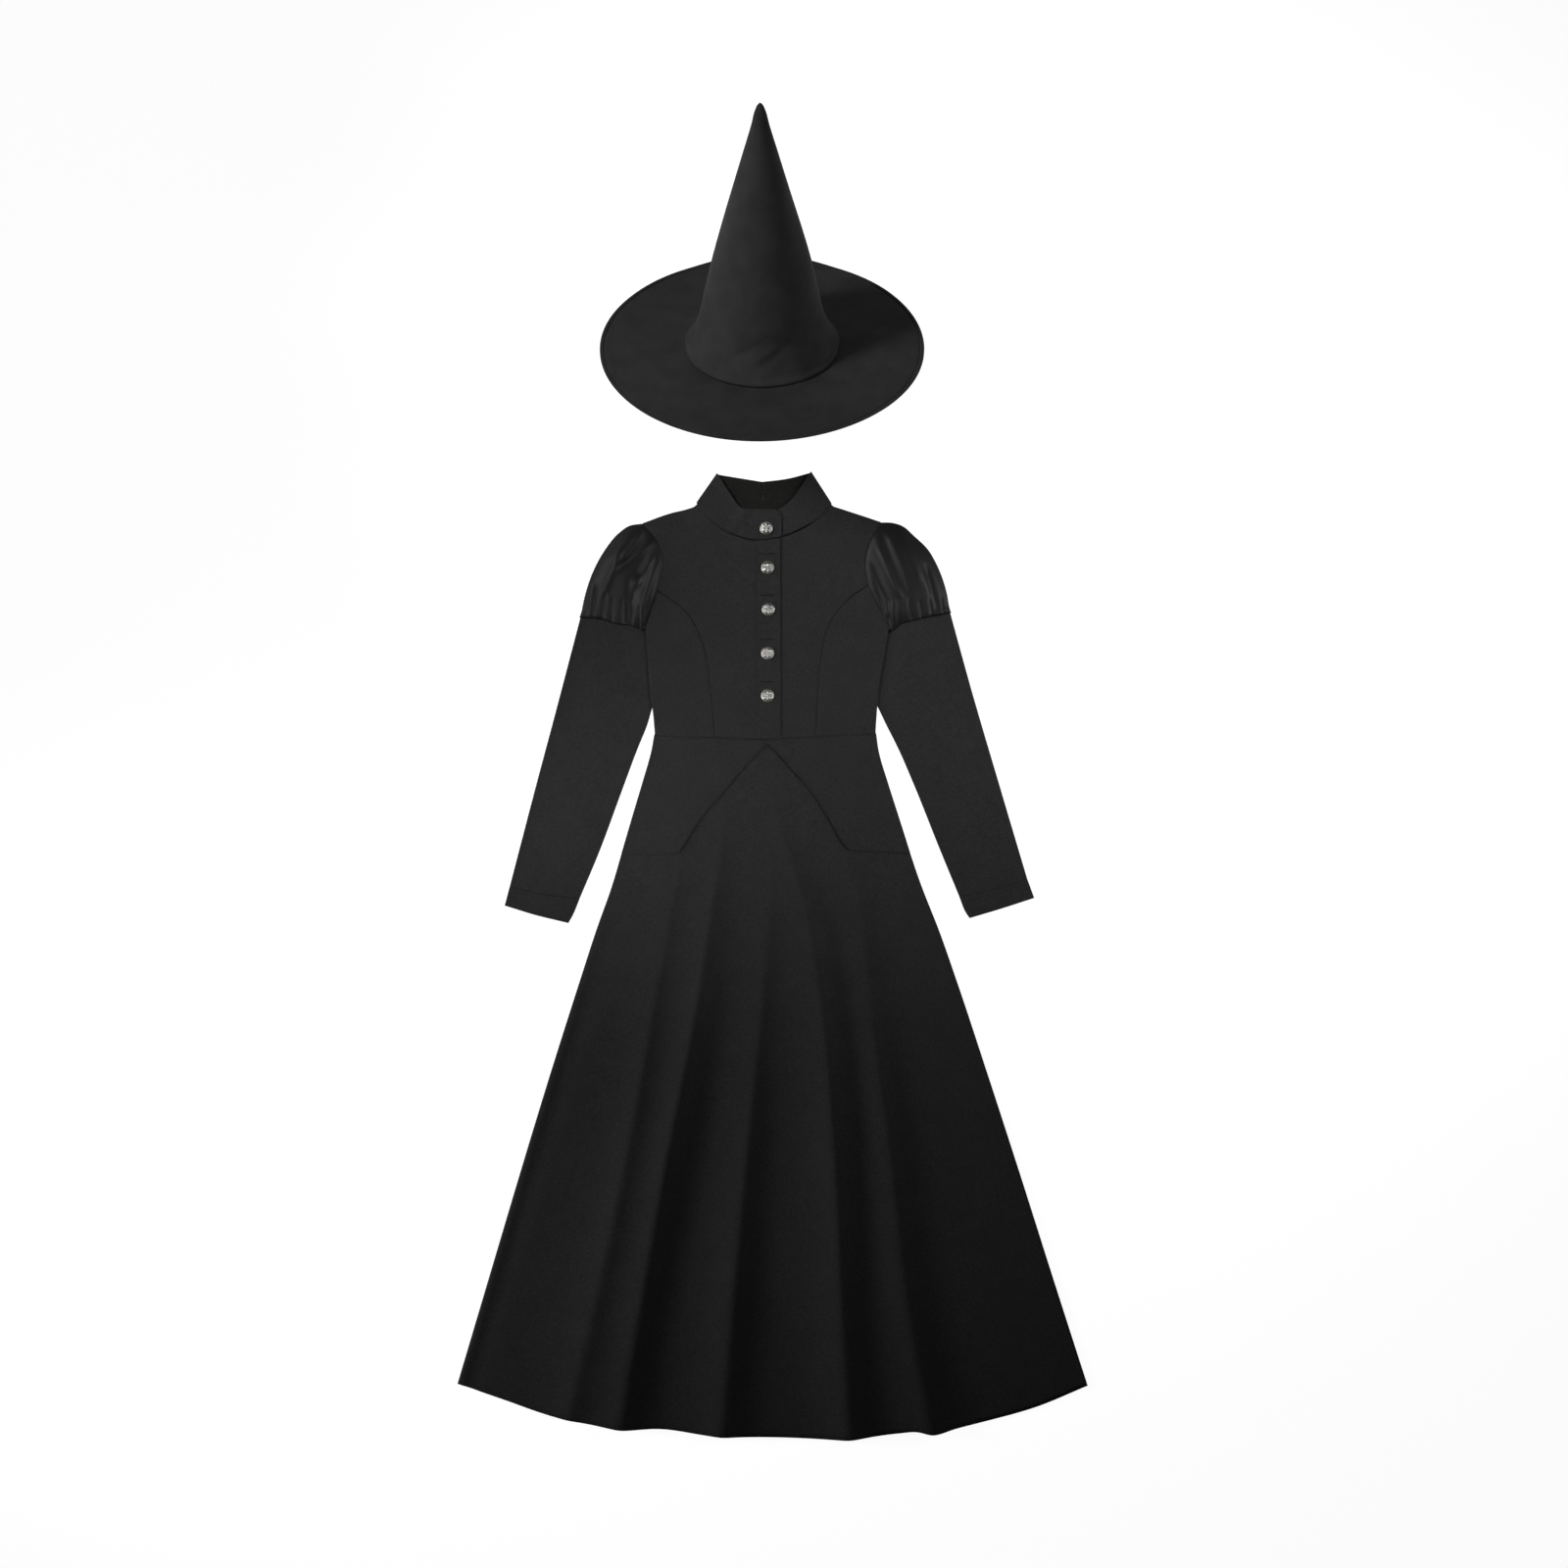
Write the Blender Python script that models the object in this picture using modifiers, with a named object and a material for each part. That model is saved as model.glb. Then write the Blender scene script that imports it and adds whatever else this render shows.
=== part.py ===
"""Witch costume: a long dress laid flat on its back, and a pointed hat above its collar.

Tables are in millimetres. Dress tables are measured from the centre front of the waist seam,
x to the right and y towards the hat. The scene is in metres, +Z up, with the floor at z = 0.
"""
import math

import bmesh
import bpy
import numpy as np

MM = 0.001

# Where the waist's centre front and the hat's brim stand in the part's own frame
WAIST_AT = (-6.5, 111.8)
HAT_X = -14.3
HAT_BEND_Y = 851.0

CLOTH = 1.2             # wall of the dress cloth
HAT_CLOTH = 2.0         # wall of the hat cloth
LAYER_GAP = 0.3         # air between two pieces that lie on each other
SEAM_GAP = 0.35         # air between two pieces sewn edge to edge
LAYER = CLOTH + LAYER_GAP
SLOPE_SPARE = 0.15      # a little more air where the cloth under a piece slopes

# Side edges of the dress from the underarm to the hem
SIDE_ROWS = (
    # height, left edge, right edge
    (167, -185.5, 182),
    (124, -182, 175),
    (80, -179, 167.5),
    (31, -173, 163),
    (6, -171, 161.5),
    (-21, -177, 167),
    (-68, -190.5, 181),
    (-115, -204.5, 196),
    (-175, -222, 215),
    (-216, -234, 229),
    (-290, -260, 258),
    (-364, -284, 284),
    (-512, -331, 333),
    (-660, -376, 381),
    (-808, -420, 428),
    (-973, -469, 482),
)
HEM_ROWS = (
    # x, y of the hem, with a small step at each large fold
    (-469, -973),
    (-398, -997),
    (-339, -1016),
    (-280, -1028),
    (-215, -1038),
    (-161, -1039),
    (-102, -1046),
    (16, -1052),
    (135, -1051),
    (194, -1045),
    (225, -1042),
    (247, -1046),
    (283, -1039),
    (342, -1025.5),
    (401, -1009),
    (482, -976),
)

# Folds of the skirt front: where each crest runs and how high it stands
FOLD_HEIGHTS = (-120, -250, -364, -660, -1050)
FOLDS = (
    # crest x at each of FOLD_HEIGHTS, then crest height at each
    ((-118, -143, -167, -225, -318), (0, 2, 4.5, 8, 9)),
    ((-66, -84, -98, -149, -220), (1, 5, 8, 12, 13)),
    ((4, 2, -7, -36, -68), (0, 1, 3.5, 9, 12)),
    ((14, 42, 67, 99, 143), (1, 6, 9, 13, 14)),
    ((100, 127, 145, 188, 262), (0, 3, 6, 9, 11)),
)
FOLD_RISE = (26, 0.020)     # half width of a fold's gentle side, and its growth down the skirt
FOLD_FALL = (17, 0.014)     # half width of its steep side, and its growth
SKIRT_LIFT = 1.0            # how far the front stands off the back between folds

# Bodice seams
WAIST = ((-171, 6), (-84, 2), (0, 0), (71, 3), (162, 9))
SHOULDER_LEFT = ((-190.5, 325), (-111, 354))
SHOULDER_RIGHT = ((98, 354), (170, 327))
NECK_LEFT = ((-111, 354), (-82, 323), (-55, 308), (-21, 299), (19, 303))
NECK_RIGHT = ((-19, 300), (16, 303), (53, 317), (81, 334), (98, 354))
ARMHOLE_LEFT = ((-190.5, 325), (-169, 299), (-160, 272), (-162, 245), (-167, 223))
UNDERARM_LEFT = ((-185.5, 167), (-176, 197), (-167, 223))
ARMHOLE_RIGHT = ((170, 327), (154, 298), (147, 272), (147.5, 250), (151, 232))
UNDERARM_RIGHT = ((151, 232), (164, 203), (182, 167))
PRINCESS_LEFT = ((-167, 223), (-142, 207), (-123, 191), (-106, 163), (-96, 136), (-88, 85), (-80, 2))
PRINCESS_RIGHT = ((151, 232), (126, 215), (105, 194), (88, 165), (81, 136), (75, 78), (71, 3))
LAP_EDGE = 19               # edge of the front that lies on top
UNDERLAP_EDGE = -19         # hidden edge of the front below it
CENTRE_BACK = -9
BUST = (85, 195, 52, 75, 3.5)   # across, up, half width, half height, fullness

# How high each layer's underside lies
FRONT_LEVEL = 5.0           # bodice front above the floor
SHOULDER_LEVEL = 1.8        # bodice front at the shoulder seam
TUCK_LEVEL = 3.5            # bodice back where it lies on the sleeve
WAIST_LEVEL = 1.5           # skirt back where it lies on the peplum back
PEPLUM_DROP = -173          # bottom edge of the peplum

# Collar
COLLAR_FOOT_LEFT = ((20, 304.6), (-21, 300.6), (-55, 309.6), (-82, 324.6), (-107, 354.5))
COLLAR_TOP_LEFT = ((12, 346), (-13, 346), (-40, 348), (-58, 371), (-76, 399))
COLLAR_END_LEFT = ((20, 304.6), (20.5, 325), (19, 339), (12, 346))
COLLAR_FOOT_RIGHT = ((-19, 301.8), (16, 304.8), (53, 319.2), (80, 336), (94, 353.5))
COLLAR_TOP_RIGHT = ((-19, 342), (13, 345), (31, 357), (47, 377), (63, 401.5))
COLLAR_BACK_FOOT = ((-107, 354.5), (-60, 344), (-9, 340), (40, 342), (94, 352))
COLLAR_BACK_TOP = ((-76, 399), (-43, 393.5), (-9, 388), (30, 393), (63, 401.5))
COLLAR_LEVEL = 6.0
COLLAR_FOLD_RISE = 4.0      # height of the collar's front layer at the side fold

# Sleeves: puff, sleeve and cuff edges, outer edge first
PUFF_LEFT = {
    "armhole": ((-192, 323.5), (-171, 300), (-161.2, 272), (-163.2, 245), (-168.2, 222), (-177.5, 196),
                (-188, 168)),
    "foot": ((-281.5, 187), (-252, 184), (-228, 175), (-204, 171), (-189.5, 162)),
    "outer": ((-192, 323.5), (-209, 320.5), (-225, 309.5), (-244.5, 286), (-263.5, 251.5), (-275.5, 216),
              (-281.5, 187)),
}
PUFF_RIGHT = {
    "armhole": ((171.5, 325.5), (156, 299), (148.6, 272), (149, 250), (152.5, 232), (165.5, 203.5),
                (184.5, 169)),
    "foot": ((272.5, 194), (246, 188), (221, 181), (200, 175), (186, 163)),
    "outer": ((171.5, 325.5), (186, 325), (201, 320.5), (220, 304.5), (239.5, 285.5), (253.5, 261.5),
              (267.5, 222), (272.5, 194)),
}
SLEEVE_LEFT = {
    "head": ((-282, 184), (-252, 181), (-228, 172), (-204, 168), (-189, 160), (-175.5, 155)),
    "outer": ((-282, 184), (-315.5, 56), (-352.5, -83), (-389, -223)),
    "inner": ((-175.5, 155), (-171, 120), (-168.5, 85), (-170.5, 62), (-177, 46), (-183.5, 24), (-199.5, -16),
              (-221.5, -75), (-257.5, -172), (-286.5, -241)),
    "seam": ((-389, -223), (-345, -233.5), (-286.5, -241)),
}
SLEEVE_RIGHT = {
    "head": ((273, 191), (246, 185), (221, 178), (200, 171.5), (186, 160), (172.5, 155)),
    "outer": ((273, 191), (303.5, 80), (349, -75), (390, -213)),
    "inner": ((172.5, 155), (164, 120), (157.5, 85), (160, 62), (168, 46), (178.5, 24), (198.5, -16), (221, -68),
              (259.5, -164), (290, -238)),
    "seam": ((390, -213), (343, -227), (290, -238)),
}
CUFF_LEFT = {
    "corner": (-297, -266),
    "edge": ((-396.5, -252), (-350, -266), (-303.5, -277.5)),
}
CUFF_RIGHT = {
    "corner": (300, -262),
    "edge": ((400, -240.5), (350, -256.5), (305.5, -270)),
}
FOLD_RADIUS = 1.0           # middle of the cloth at a flattened sleeve's edge
SLEEVE_CREST = 5.2
PUFF_CREST = 15.0
PUFF_GATHERS = 8
GATHER_DEPTH = 2.0
TUCK_FOOT = 46              # the sleeve lies under the bodice above this height
TUCK_WIDTH = 13

# Peplum
FLAP_LEFT = ((6, -2), (-34, -41), (-68, -81), (-102, -120), (-130, -165), (-135, -172))
FLAP_RIGHT = ((-21, -1), (-10, -3), (0, -9), (34, -44), (68, -84), (95, -126), (118, -163), (124, -168))
FLAP_LIFT = 1.6

# Buttons on the lap
BUTTON_ROWS = (
    # name, x, y
    ("button_1", -3, 317),
    ("button_2", -1, 258),
    ("button_3", 0, 195),
    ("button_4", -1, 129),
    ("button_5", -1, 65),
)
BUTTON_PROFILE = ((0, 5.6), (3.5, 5.2), (6.6, 4.2), (8.8, 2.8), (10, 1.4), (9.7, 0.4), (8.8, 0), (0, 0))

# Hat
BRIM_RADIUS = 232.9
HEAD_RADIUS = 95
BRIM_LEAN = math.radians(45.3)
BRIM_BEND = 50              # radius of the bend above the strip that lies on the floor
BRIM_CONTACT = 12           # depth of that strip
CROWN_PROFILE = (
    # radius, height above the brim
    (0, 373.4),
    (3.2, 371.5),
    (6.5, 364.8),
    (12.4, 342.3),
    (25.6, 296.7),
    (42, 238.5),
    (55.3, 190.5),
    (68.2, 141.6),
    (80.5, 87),
    (89.2, 46.6),
    (93.5, 31),
    (99, 21.5),
    (106.5, 15.5),
    (110.6, 10.5),
    (110.8, 6),
    (107.5, 2.6),
    (102, 1.6),
    (97, 1.5),
)


def smooth_step(value):
    value = np.clip(value, 0.0, 1.0)
    return value * value * (3.0 - 2.0 * value)


def smooth_line(points, count):
    """Evenly spaced points on a smooth curve through the given ones."""
    points = np.array(points, dtype=float)
    steps = np.linalg.norm(np.diff(points, axis=0), axis=1)
    along = np.concatenate(([0.0], np.cumsum(steps)))
    tangents = np.gradient(points, along, axis=0)
    spots = np.linspace(0.0, along[-1], 240)
    span = np.clip(np.searchsorted(along, spots, side="right") - 1, 0, len(along) - 2)
    width = along[span + 1] - along[span]
    part = (spots - along[span]) / width
    width = width[:, None]
    part = part[:, None]
    fine = (
        (2 * part**3 - 3 * part**2 + 1) * points[span]
        + (part**3 - 2 * part**2 + part) * width * tangents[span]
        + (3 * part**2 - 2 * part**3) * points[span + 1]
        + (part**3 - part**2) * width * tangents[span + 1]
    )
    lengths = np.concatenate(([0.0], np.cumsum(np.linalg.norm(np.diff(fine, axis=0), axis=1))))
    marks = np.linspace(0.0, lengths[-1], count)
    return np.stack([np.interp(marks, lengths, fine[:, axis]) for axis in range(2)], axis=1)


def joined_lines(*lines):
    """Two or more lines end to end, each shared corner kept once."""
    parts = [lines[0]]
    for line in lines[1:]:
        parts.append(line[1:])
    return np.concatenate(parts)


def four_sided(top, bottom, left, right):
    """Points that fill the space between four edges: rows run from top to bottom."""
    rows = len(left)
    columns = len(top)
    across = np.linspace(0.0, 1.0, columns)[None, :, None]
    down = np.linspace(0.0, 1.0, rows)[:, None, None]
    corners = (
        (1 - across) * (1 - down) * top[0]
        + across * (1 - down) * top[-1]
        + (1 - across) * down * bottom[0]
        + across * down * bottom[-1]
    )
    between_ends = (1 - down) * top[None] + down * bottom[None]
    between_sides = (1 - across) * left[:, None] + across * right[:, None]
    return between_ends + between_sides - corners


def side_line(low, high, side, count, inset=0.0):
    """One side edge of the dress between two heights, from the top down."""
    rows = [row for row in SIDE_ROWS if low + 8 < row[0] < high - 8]
    heights = [row[0] for row in SIDE_ROWS][::-1]
    edges = [row[side] for row in SIDE_ROWS][::-1]
    ends = [(np.interp(level, heights, edges), level) for level in (high, low)]
    points = [ends[0]] + [(row[side], row[0]) for row in rows] + [ends[1]]
    line = smooth_line(points, count)
    line[:, 0] += inset if side == 1 else -inset
    return line


def hem_line(count):
    """The curved hem from left to right."""
    return smooth_line(HEM_ROWS, count)


def half_width(x, y):
    """How far across the dress a point lies: 0 on its middle line, 1 on a side edge."""
    heights = [row[0] for row in SIDE_ROWS][::-1]
    left = np.interp(y, heights, [row[1] for row in SIDE_ROWS][::-1])
    right = np.interp(y, heights, [row[2] for row in SIDE_ROWS][::-1])
    middle = (left + right) / 2
    return np.clip(np.abs(x - middle) / (right - middle), 0.0, 1.0)


def skirt_folds(x, y):
    """Height of the folds that fan out from the waist."""
    total = np.zeros_like(x)
    heights = FOLD_HEIGHTS[::-1]
    for crest, rise in FOLDS:
        crest_x = np.interp(y, heights, crest[::-1])
        crest_height = np.interp(y, heights, rise[::-1])
        gentle = FOLD_RISE[0] - FOLD_RISE[1] * y
        steep = FOLD_FALL[0] - FOLD_FALL[1] * y
        width = np.where(x < crest_x, gentle, steep)
        total += crest_height * np.exp(-(((x - crest_x) / width) ** 2))
    return total


def skirt_back_level(x, y):
    """Underside of the skirt back: on the peplum back, then on the floor."""
    return WAIST_LEVEL * (1 - smooth_step((PEPLUM_DROP - 32 - y) / 60))


def skirt_level(x, y):
    """Underside of the skirt front."""
    inner = 1 - half_width(x, y) ** 4
    return skirt_back_level(x, y) + LAYER + inner * (SKIRT_LIFT + skirt_folds(x, y))


def peplum_level(x, y):
    """Underside of the peplum flaps, which lie on the skirt front."""
    return skirt_level(x, y) + LAYER + SLOPE_SPARE


def bodice_back_level(x, y):
    """Underside of the bodice back: raised over the tucked sleeve and over the waist seam."""
    heights = [row[0] for row in SIDE_ROWS][::-1]
    left = np.interp(y, heights, [row[1] for row in SIDE_ROWS][::-1])
    right = np.interp(y, heights, [row[2] for row in SIDE_ROWS][::-1])
    inside = np.minimum(x - left, right - x)
    band = smooth_step((y - 12) / 24) * smooth_step((232 - y) / 50)
    tuck = TUCK_LEVEL * band * smooth_step((62 - inside) / 44)
    waist = WAIST_LEVEL * smooth_step((44 - y) / 36)
    return np.maximum(tuck, waist)


def front_level(x, y):
    """Underside of the bodice front."""
    shoulder_x = [SHOULDER_LEFT[0][0], SHOULDER_LEFT[1][0], SHOULDER_RIGHT[0][0], SHOULDER_RIGHT[1][0]]
    shoulder_y = [SHOULDER_LEFT[0][1], SHOULDER_LEFT[1][1], SHOULDER_RIGHT[0][1], SHOULDER_RIGHT[1][1]]
    below = np.interp(x, shoulder_x, shoulder_y) - y
    beside_neck = smooth_step((np.abs(x + 7) - 66) / 36)
    drop = (FRONT_LEVEL - SHOULDER_LEVEL) * beside_neck * (1 - smooth_step(below / 34))
    across, up, wide, tall, fullness = BUST
    bust = fullness * np.exp(-(((np.abs(x) - across) / wide) ** 2) - ((y - up) / tall) ** 2)
    waist = (peplum_level(x, np.minimum(y, 0.0)) - FRONT_LEVEL) * smooth_step((40 - y) / 40)
    return FRONT_LEVEL + bust + waist - drop


def lap_level(x, y):
    """Underside of the overlapping front and its collar, raised over the front beneath."""
    return front_level(x, y) + (LAYER + SLOPE_SPARE) * smooth_step((x + 50) / 26)


def raised(plan, level, wall=CLOTH):
    """Points at the middle of a wall whose underside follows the given level."""
    height = level(plan[..., 0], plan[..., 1]) + wall / 2
    return np.concatenate([plan, height[..., None]], axis=-1)


def on_dress(points):
    """Dress points moved into the part's frame, in metres."""
    return (points + np.array([WAIST_AT[0], WAIST_AT[1], 0.0])) * MM


def new_material(name, colour, roughness, metallic=0.0, sheen=0.0):
    material = bpy.data.materials.new(name)
    material.use_nodes = True
    shader = material.node_tree.nodes["Principled BSDF"]
    shader.inputs["Base Color"].default_value = (*colour, 1.0)
    shader.inputs["Roughness"].default_value = roughness
    shader.inputs["Metallic"].default_value = metallic
    shader.inputs["Sheen Weight"].default_value = sheen
    material.diffuse_color = (*colour, 1.0)
    return material


def add_object(name, bm, looks):
    """A named object with its own material."""
    mesh = bpy.data.meshes.new(name)
    bm.to_mesh(mesh)
    bm.free()
    for polygon in mesh.polygons:
        polygon.use_smooth = True
    made = bpy.data.objects.new(name, mesh)
    costume.objects.link(made)
    mesh.materials.append(new_material(name, *looks))
    return made


def add_cloth(name, points, looks, wall=CLOTH, closed=False):
    """A thin wall through a grid of middle points, in metres. A closed grid joins its last column."""
    rows, columns = points.shape[:2]
    bm = bmesh.new()
    bmesh.ops.create_grid(bm, x_segments=columns - 1, y_segments=rows - 1, size=1.0)
    for vert, spot in zip(bm.verts, points.reshape(-1, 3)):
        vert.co = spot
    if closed:
        bmesh.ops.remove_doubles(bm, verts=bm.verts, dist=1e-6)
    made = add_object(name, bm, looks)
    thicken = made.modifiers.new("Cloth", "SOLIDIFY")
    thicken.thickness = wall * MM
    thicken.offset = 0.0
    return made


def fold_arc(first, second, outward, steps=4):
    """Points of a half-round fold between two layers, without its ends."""
    middle = (first + second) / 2
    up = (first - second) / 2
    reach = np.linalg.norm(up, axis=-1, keepdims=True)
    columns = []
    for step in range(1, steps):
        angle = math.pi * step / steps
        columns.append(middle + up * math.cos(angle) + outward * reach * math.sin(angle))
    return np.stack(columns, axis=1)


def outward_of(layer, last):
    """Level direction that leads out over a layer's last or first column."""
    edge, neighbour = (layer[:, -1], layer[:, -2]) if last else (layer[:, 0], layer[:, 1])
    out = edge - neighbour
    out[:, 2] = 0.0
    return out / np.linalg.norm(out, axis=1, keepdims=True)


def folded(front, back, closed):
    """Front and back layer joined by a fold. A closed one is folded at both sides."""
    parts = [front, fold_arc(front[:, -1], back[:, 0], outward_of(front, True)), back]
    if closed:
        parts.append(fold_arc(back[:, -1], front[:, 0], outward_of(front, False)))
        parts.append(front[:, :1])
    return np.concatenate(parts, axis=1)


def add_panel(name, plan, level, looks=None):
    return add_cloth(name, on_dress(raised(plan, level)), looks or SUITING)


def build_fronts():
    """The two centre fronts and the two side fronts."""
    shoulder = smooth_line(SHOULDER_LEFT, 6)
    neck = smooth_line(NECK_LEFT, 9)
    armhole = smooth_line(ARMHOLE_LEFT, 6)
    princess = smooth_line(PRINCESS_LEFT, 10)
    side_of_left = joined_lines(armhole, princess)
    lap = smooth_line(((LAP_EDGE, 303), (LAP_EDGE, 1)), len(side_of_left))
    waist = smooth_line(((-80, 2), (-40, 1), (LAP_EDGE, 1)), 14)
    add_panel("front_centre_left", four_sided(joined_lines(shoulder, neck), waist, side_of_left, lap), lap_level)

    shoulder = smooth_line(SHOULDER_RIGHT, 6)
    neck = smooth_line(NECK_RIGHT, 9)
    armhole = smooth_line(ARMHOLE_RIGHT, 6)
    princess = smooth_line(PRINCESS_RIGHT, 10)
    side_of_right = joined_lines(armhole, princess)
    underlap = smooth_line(((UNDERLAP_EDGE, 300), (UNDERLAP_EDGE, 1)), len(side_of_right))
    waist = smooth_line(((UNDERLAP_EDGE, 1), (20, 1), (71, 3)), 14)
    add_panel("front_centre_right", four_sided(joined_lines(neck, shoulder), waist, underlap, side_of_right),
              front_level)

    shift = np.array([SEAM_GAP, 1.5 * SEAM_GAP])
    princess = smooth_line(PRINCESS_LEFT, 10) - shift
    underarm = smooth_line(UNDERARM_LEFT, 6)
    underarm = underarm + np.linspace(0, 1, 6)[:, None] * (princess[0] - underarm[-1])
    side = side_line(6, 167, 1, 10)
    side[0] = underarm[0]
    waist = smooth_line(((-171, 6), (-125, 3.5), (-80, 2)), 6)
    waist[-1] = princess[-1]
    add_panel("front_side_left", four_sided(underarm, waist, side, princess), front_level)

    shift = np.array([SEAM_GAP, -1.5 * SEAM_GAP])
    princess = smooth_line(PRINCESS_RIGHT, 10) + shift
    underarm = smooth_line(UNDERARM_RIGHT, 6)
    underarm = underarm + np.linspace(1, 0, 6)[:, None] * (princess[0] - underarm[0])
    side = side_line(9, 167, 2, 10)
    side[0] = underarm[-1]
    waist = smooth_line(((71, 3), (115, 5.5), (161.5, 9)), 6)
    waist[0] = princess[-1]
    waist[-1] = side[-1]
    add_panel("front_side_right", four_sided(underarm, waist, princess, side), front_level)


def build_backs():
    """Two half backs that lie on the floor and rise over the tucked sleeves."""
    for name, side, outer in (("back_left", 1, -1), ("back_right", 2, 1)):
        shoulder_points = SHOULDER_LEFT if outer < 0 else SHOULDER_RIGHT[::-1]
        armhole_points = ARMHOLE_LEFT if outer < 0 else ARMHOLE_RIGHT
        underarm_points = UNDERARM_LEFT[::-1] if outer < 0 else UNDERARM_RIGHT
        hide = np.array([-0.4 * outer, -0.5])
        neck_point = (-109, 352) if outer < 0 else (96, 350)
        centre = CENTRE_BACK + outer * SEAM_GAP / 2
        shoulder = smooth_line((shoulder_points[0], neck_point), 4) + hide
        neck = smooth_line((neck_point, (-60 if outer < 0 else 42, 342), (centre, 338.5)), 5)
        neck[0] = shoulder[-1]
        top = joined_lines(shoulder, neck)
        armhole = joined_lines(smooth_line(armhole_points, 5), smooth_line(underarm_points, 4)) + hide
        waist_side = 6 if outer < 0 else 9
        flank = side_line(waist_side + 0.5, 166.5, side, 7) + hide * (1, 0)
        flank[0] = armhole[-1]
        edge = joined_lines(armhole, flank)
        centre_line = smooth_line(((centre, 338.5), (centre, 1)), len(edge))
        waist = smooth_line((flank[-1], (flank[-1][0] * 0.5, 3), (centre, 1)), len(top))
        add_panel(name, four_sided(top, waist, edge, centre_line), bodice_back_level)


def collar_half(name, foot, top, end, back_foot, back_top, level):
    """One half of the stand collar: front layer, side fold and back layer."""
    columns = 11
    rows = 5
    fold = smooth_line((foot[-1], top[-1]), rows)
    front_plan = four_sided(smooth_line(foot, columns), smooth_line(top, columns), end, fold)
    back_end = smooth_line((back_foot[-1], back_top[-1]), rows)
    back_plan = four_sided(smooth_line(back_foot, 7), smooth_line(back_top, 7), fold, back_end)
    front = raised(front_plan, level)
    near_fold = np.linspace(0, 1, columns)[None, :] ** 3
    front[..., 2] += near_fold * (COLLAR_FOLD_RISE + CLOTH / 2 - front[..., 2])
    back = raised(back_plan, lambda x, y: np.zeros_like(x))
    add_cloth(name, on_dress(folded(front, back, False)), SUITING)


def collar_front_level(x, y):
    return COLLAR_LEVEL + (front_level(x, np.full_like(y, 300.0)) - COLLAR_LEVEL) * smooth_step((330 - y) / 30)


def collar_lap_level(x, y):
    return collar_front_level(x, y) + (LAYER + SLOPE_SPARE) * smooth_step((x + 50) / 26)


def build_collar():
    """Two collar halves that meet in a lap at the front and in a seam at the back."""
    half_gap = SEAM_GAP / 2
    left_foot = COLLAR_BACK_FOOT[:2] + ((CENTRE_BACK - half_gap, 340),)
    left_top = COLLAR_BACK_TOP[:2] + ((CENTRE_BACK - half_gap, 388),)
    right_foot = COLLAR_BACK_FOOT[:2:-1] + ((CENTRE_BACK + half_gap, 340),)
    right_top = COLLAR_BACK_TOP[:2:-1] + ((CENTRE_BACK + half_gap, 388),)
    left_end = smooth_line(COLLAR_END_LEFT, 5)
    right_end = smooth_line((COLLAR_FOOT_RIGHT[0], COLLAR_TOP_RIGHT[0]), 5)
    collar_half("collar_left", COLLAR_FOOT_LEFT, COLLAR_TOP_LEFT, left_end, left_foot, left_top, collar_lap_level)
    collar_half("collar_right", COLLAR_FOOT_RIGHT, COLLAR_TOP_RIGHT, right_end, right_foot, right_top,
                collar_front_level)


def tube_layers(top, bottom, outer, inner, crest_height):
    """Front and back layer of a flattened tube. The height runs over (across, down)."""
    plan = four_sided(top, bottom, outer, inner)
    rows, columns = plan.shape[:2]
    across = np.linspace(0.0, 1.0, columns)[None, :] * np.ones((rows, 1))
    down = np.linspace(0.0, 1.0, rows)[:, None] * np.ones((1, columns))
    lowest = CLOTH / 2
    front_height = lowest + 2 * FOLD_RADIUS + crest_height(plan, across, down)
    front = np.concatenate([plan, front_height[..., None]], axis=-1)
    back_plan = plan[:, ::-1]
    back_height = np.full(back_plan.shape[:2], lowest)
    back = np.concatenate([back_plan, back_height[..., None]], axis=-1)
    return front, back


def puff_height(plan, across, down):
    """Fullness of a puff, with broad folds at its head and gathers at its foot."""
    x, y = plan[..., 0], plan[..., 1]
    lowest = CLOTH / 2 + 2 * FOLD_RADIUS
    start = np.maximum(front_level(x, y)[:1] + CLOTH / 2 - lowest, 0.0) * np.ones_like(x)
    finish = (SLEEVE_CREST - lowest) * smooth_step(across / 0.16) * smooth_step((1 - across) / 0.25)
    rounding = (1 - (2 * across - 1) ** 4) * np.sin(math.pi * np.clip(down, 0, 1) ** 0.9) ** 0.7
    body = (1 - down) ** 3 * start + down**4 * finish + (PUFF_CREST - lowest) * rounding
    gather = np.cos(2 * math.pi * PUFF_GATHERS * across) * GATHER_DEPTH * smooth_step((down - 0.45) / 0.45)
    broad = np.cos(2 * math.pi * 3 * across + 0.8) * 1.2 * smooth_step((0.8 - down) / 0.5) * smooth_step(down / 0.2)
    inside = smooth_step(across / 0.1) * smooth_step((1 - across) / 0.1)
    return np.maximum(body + (gather * (1 - down**6) + broad) * inside, 0.0)


def sleeve_height(plan, across, down):
    """Soft swell of a sleeve, held flat where it lies under the bodice."""
    y = plan[..., 1]
    width = np.linalg.norm(plan[:, -1] - plan[:, 0], axis=1)[:, None]
    from_outer = across * width
    from_inner = (1 - across) * width
    tucked = TUCK_WIDTH * smooth_step((y - TUCK_FOOT + 26) / 26)
    swell = SLEEVE_CREST - CLOTH / 2 - 2 * FOLD_RADIUS
    return swell * smooth_step(from_outer / 20) * smooth_step((from_inner - tucked) / 22)


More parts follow.
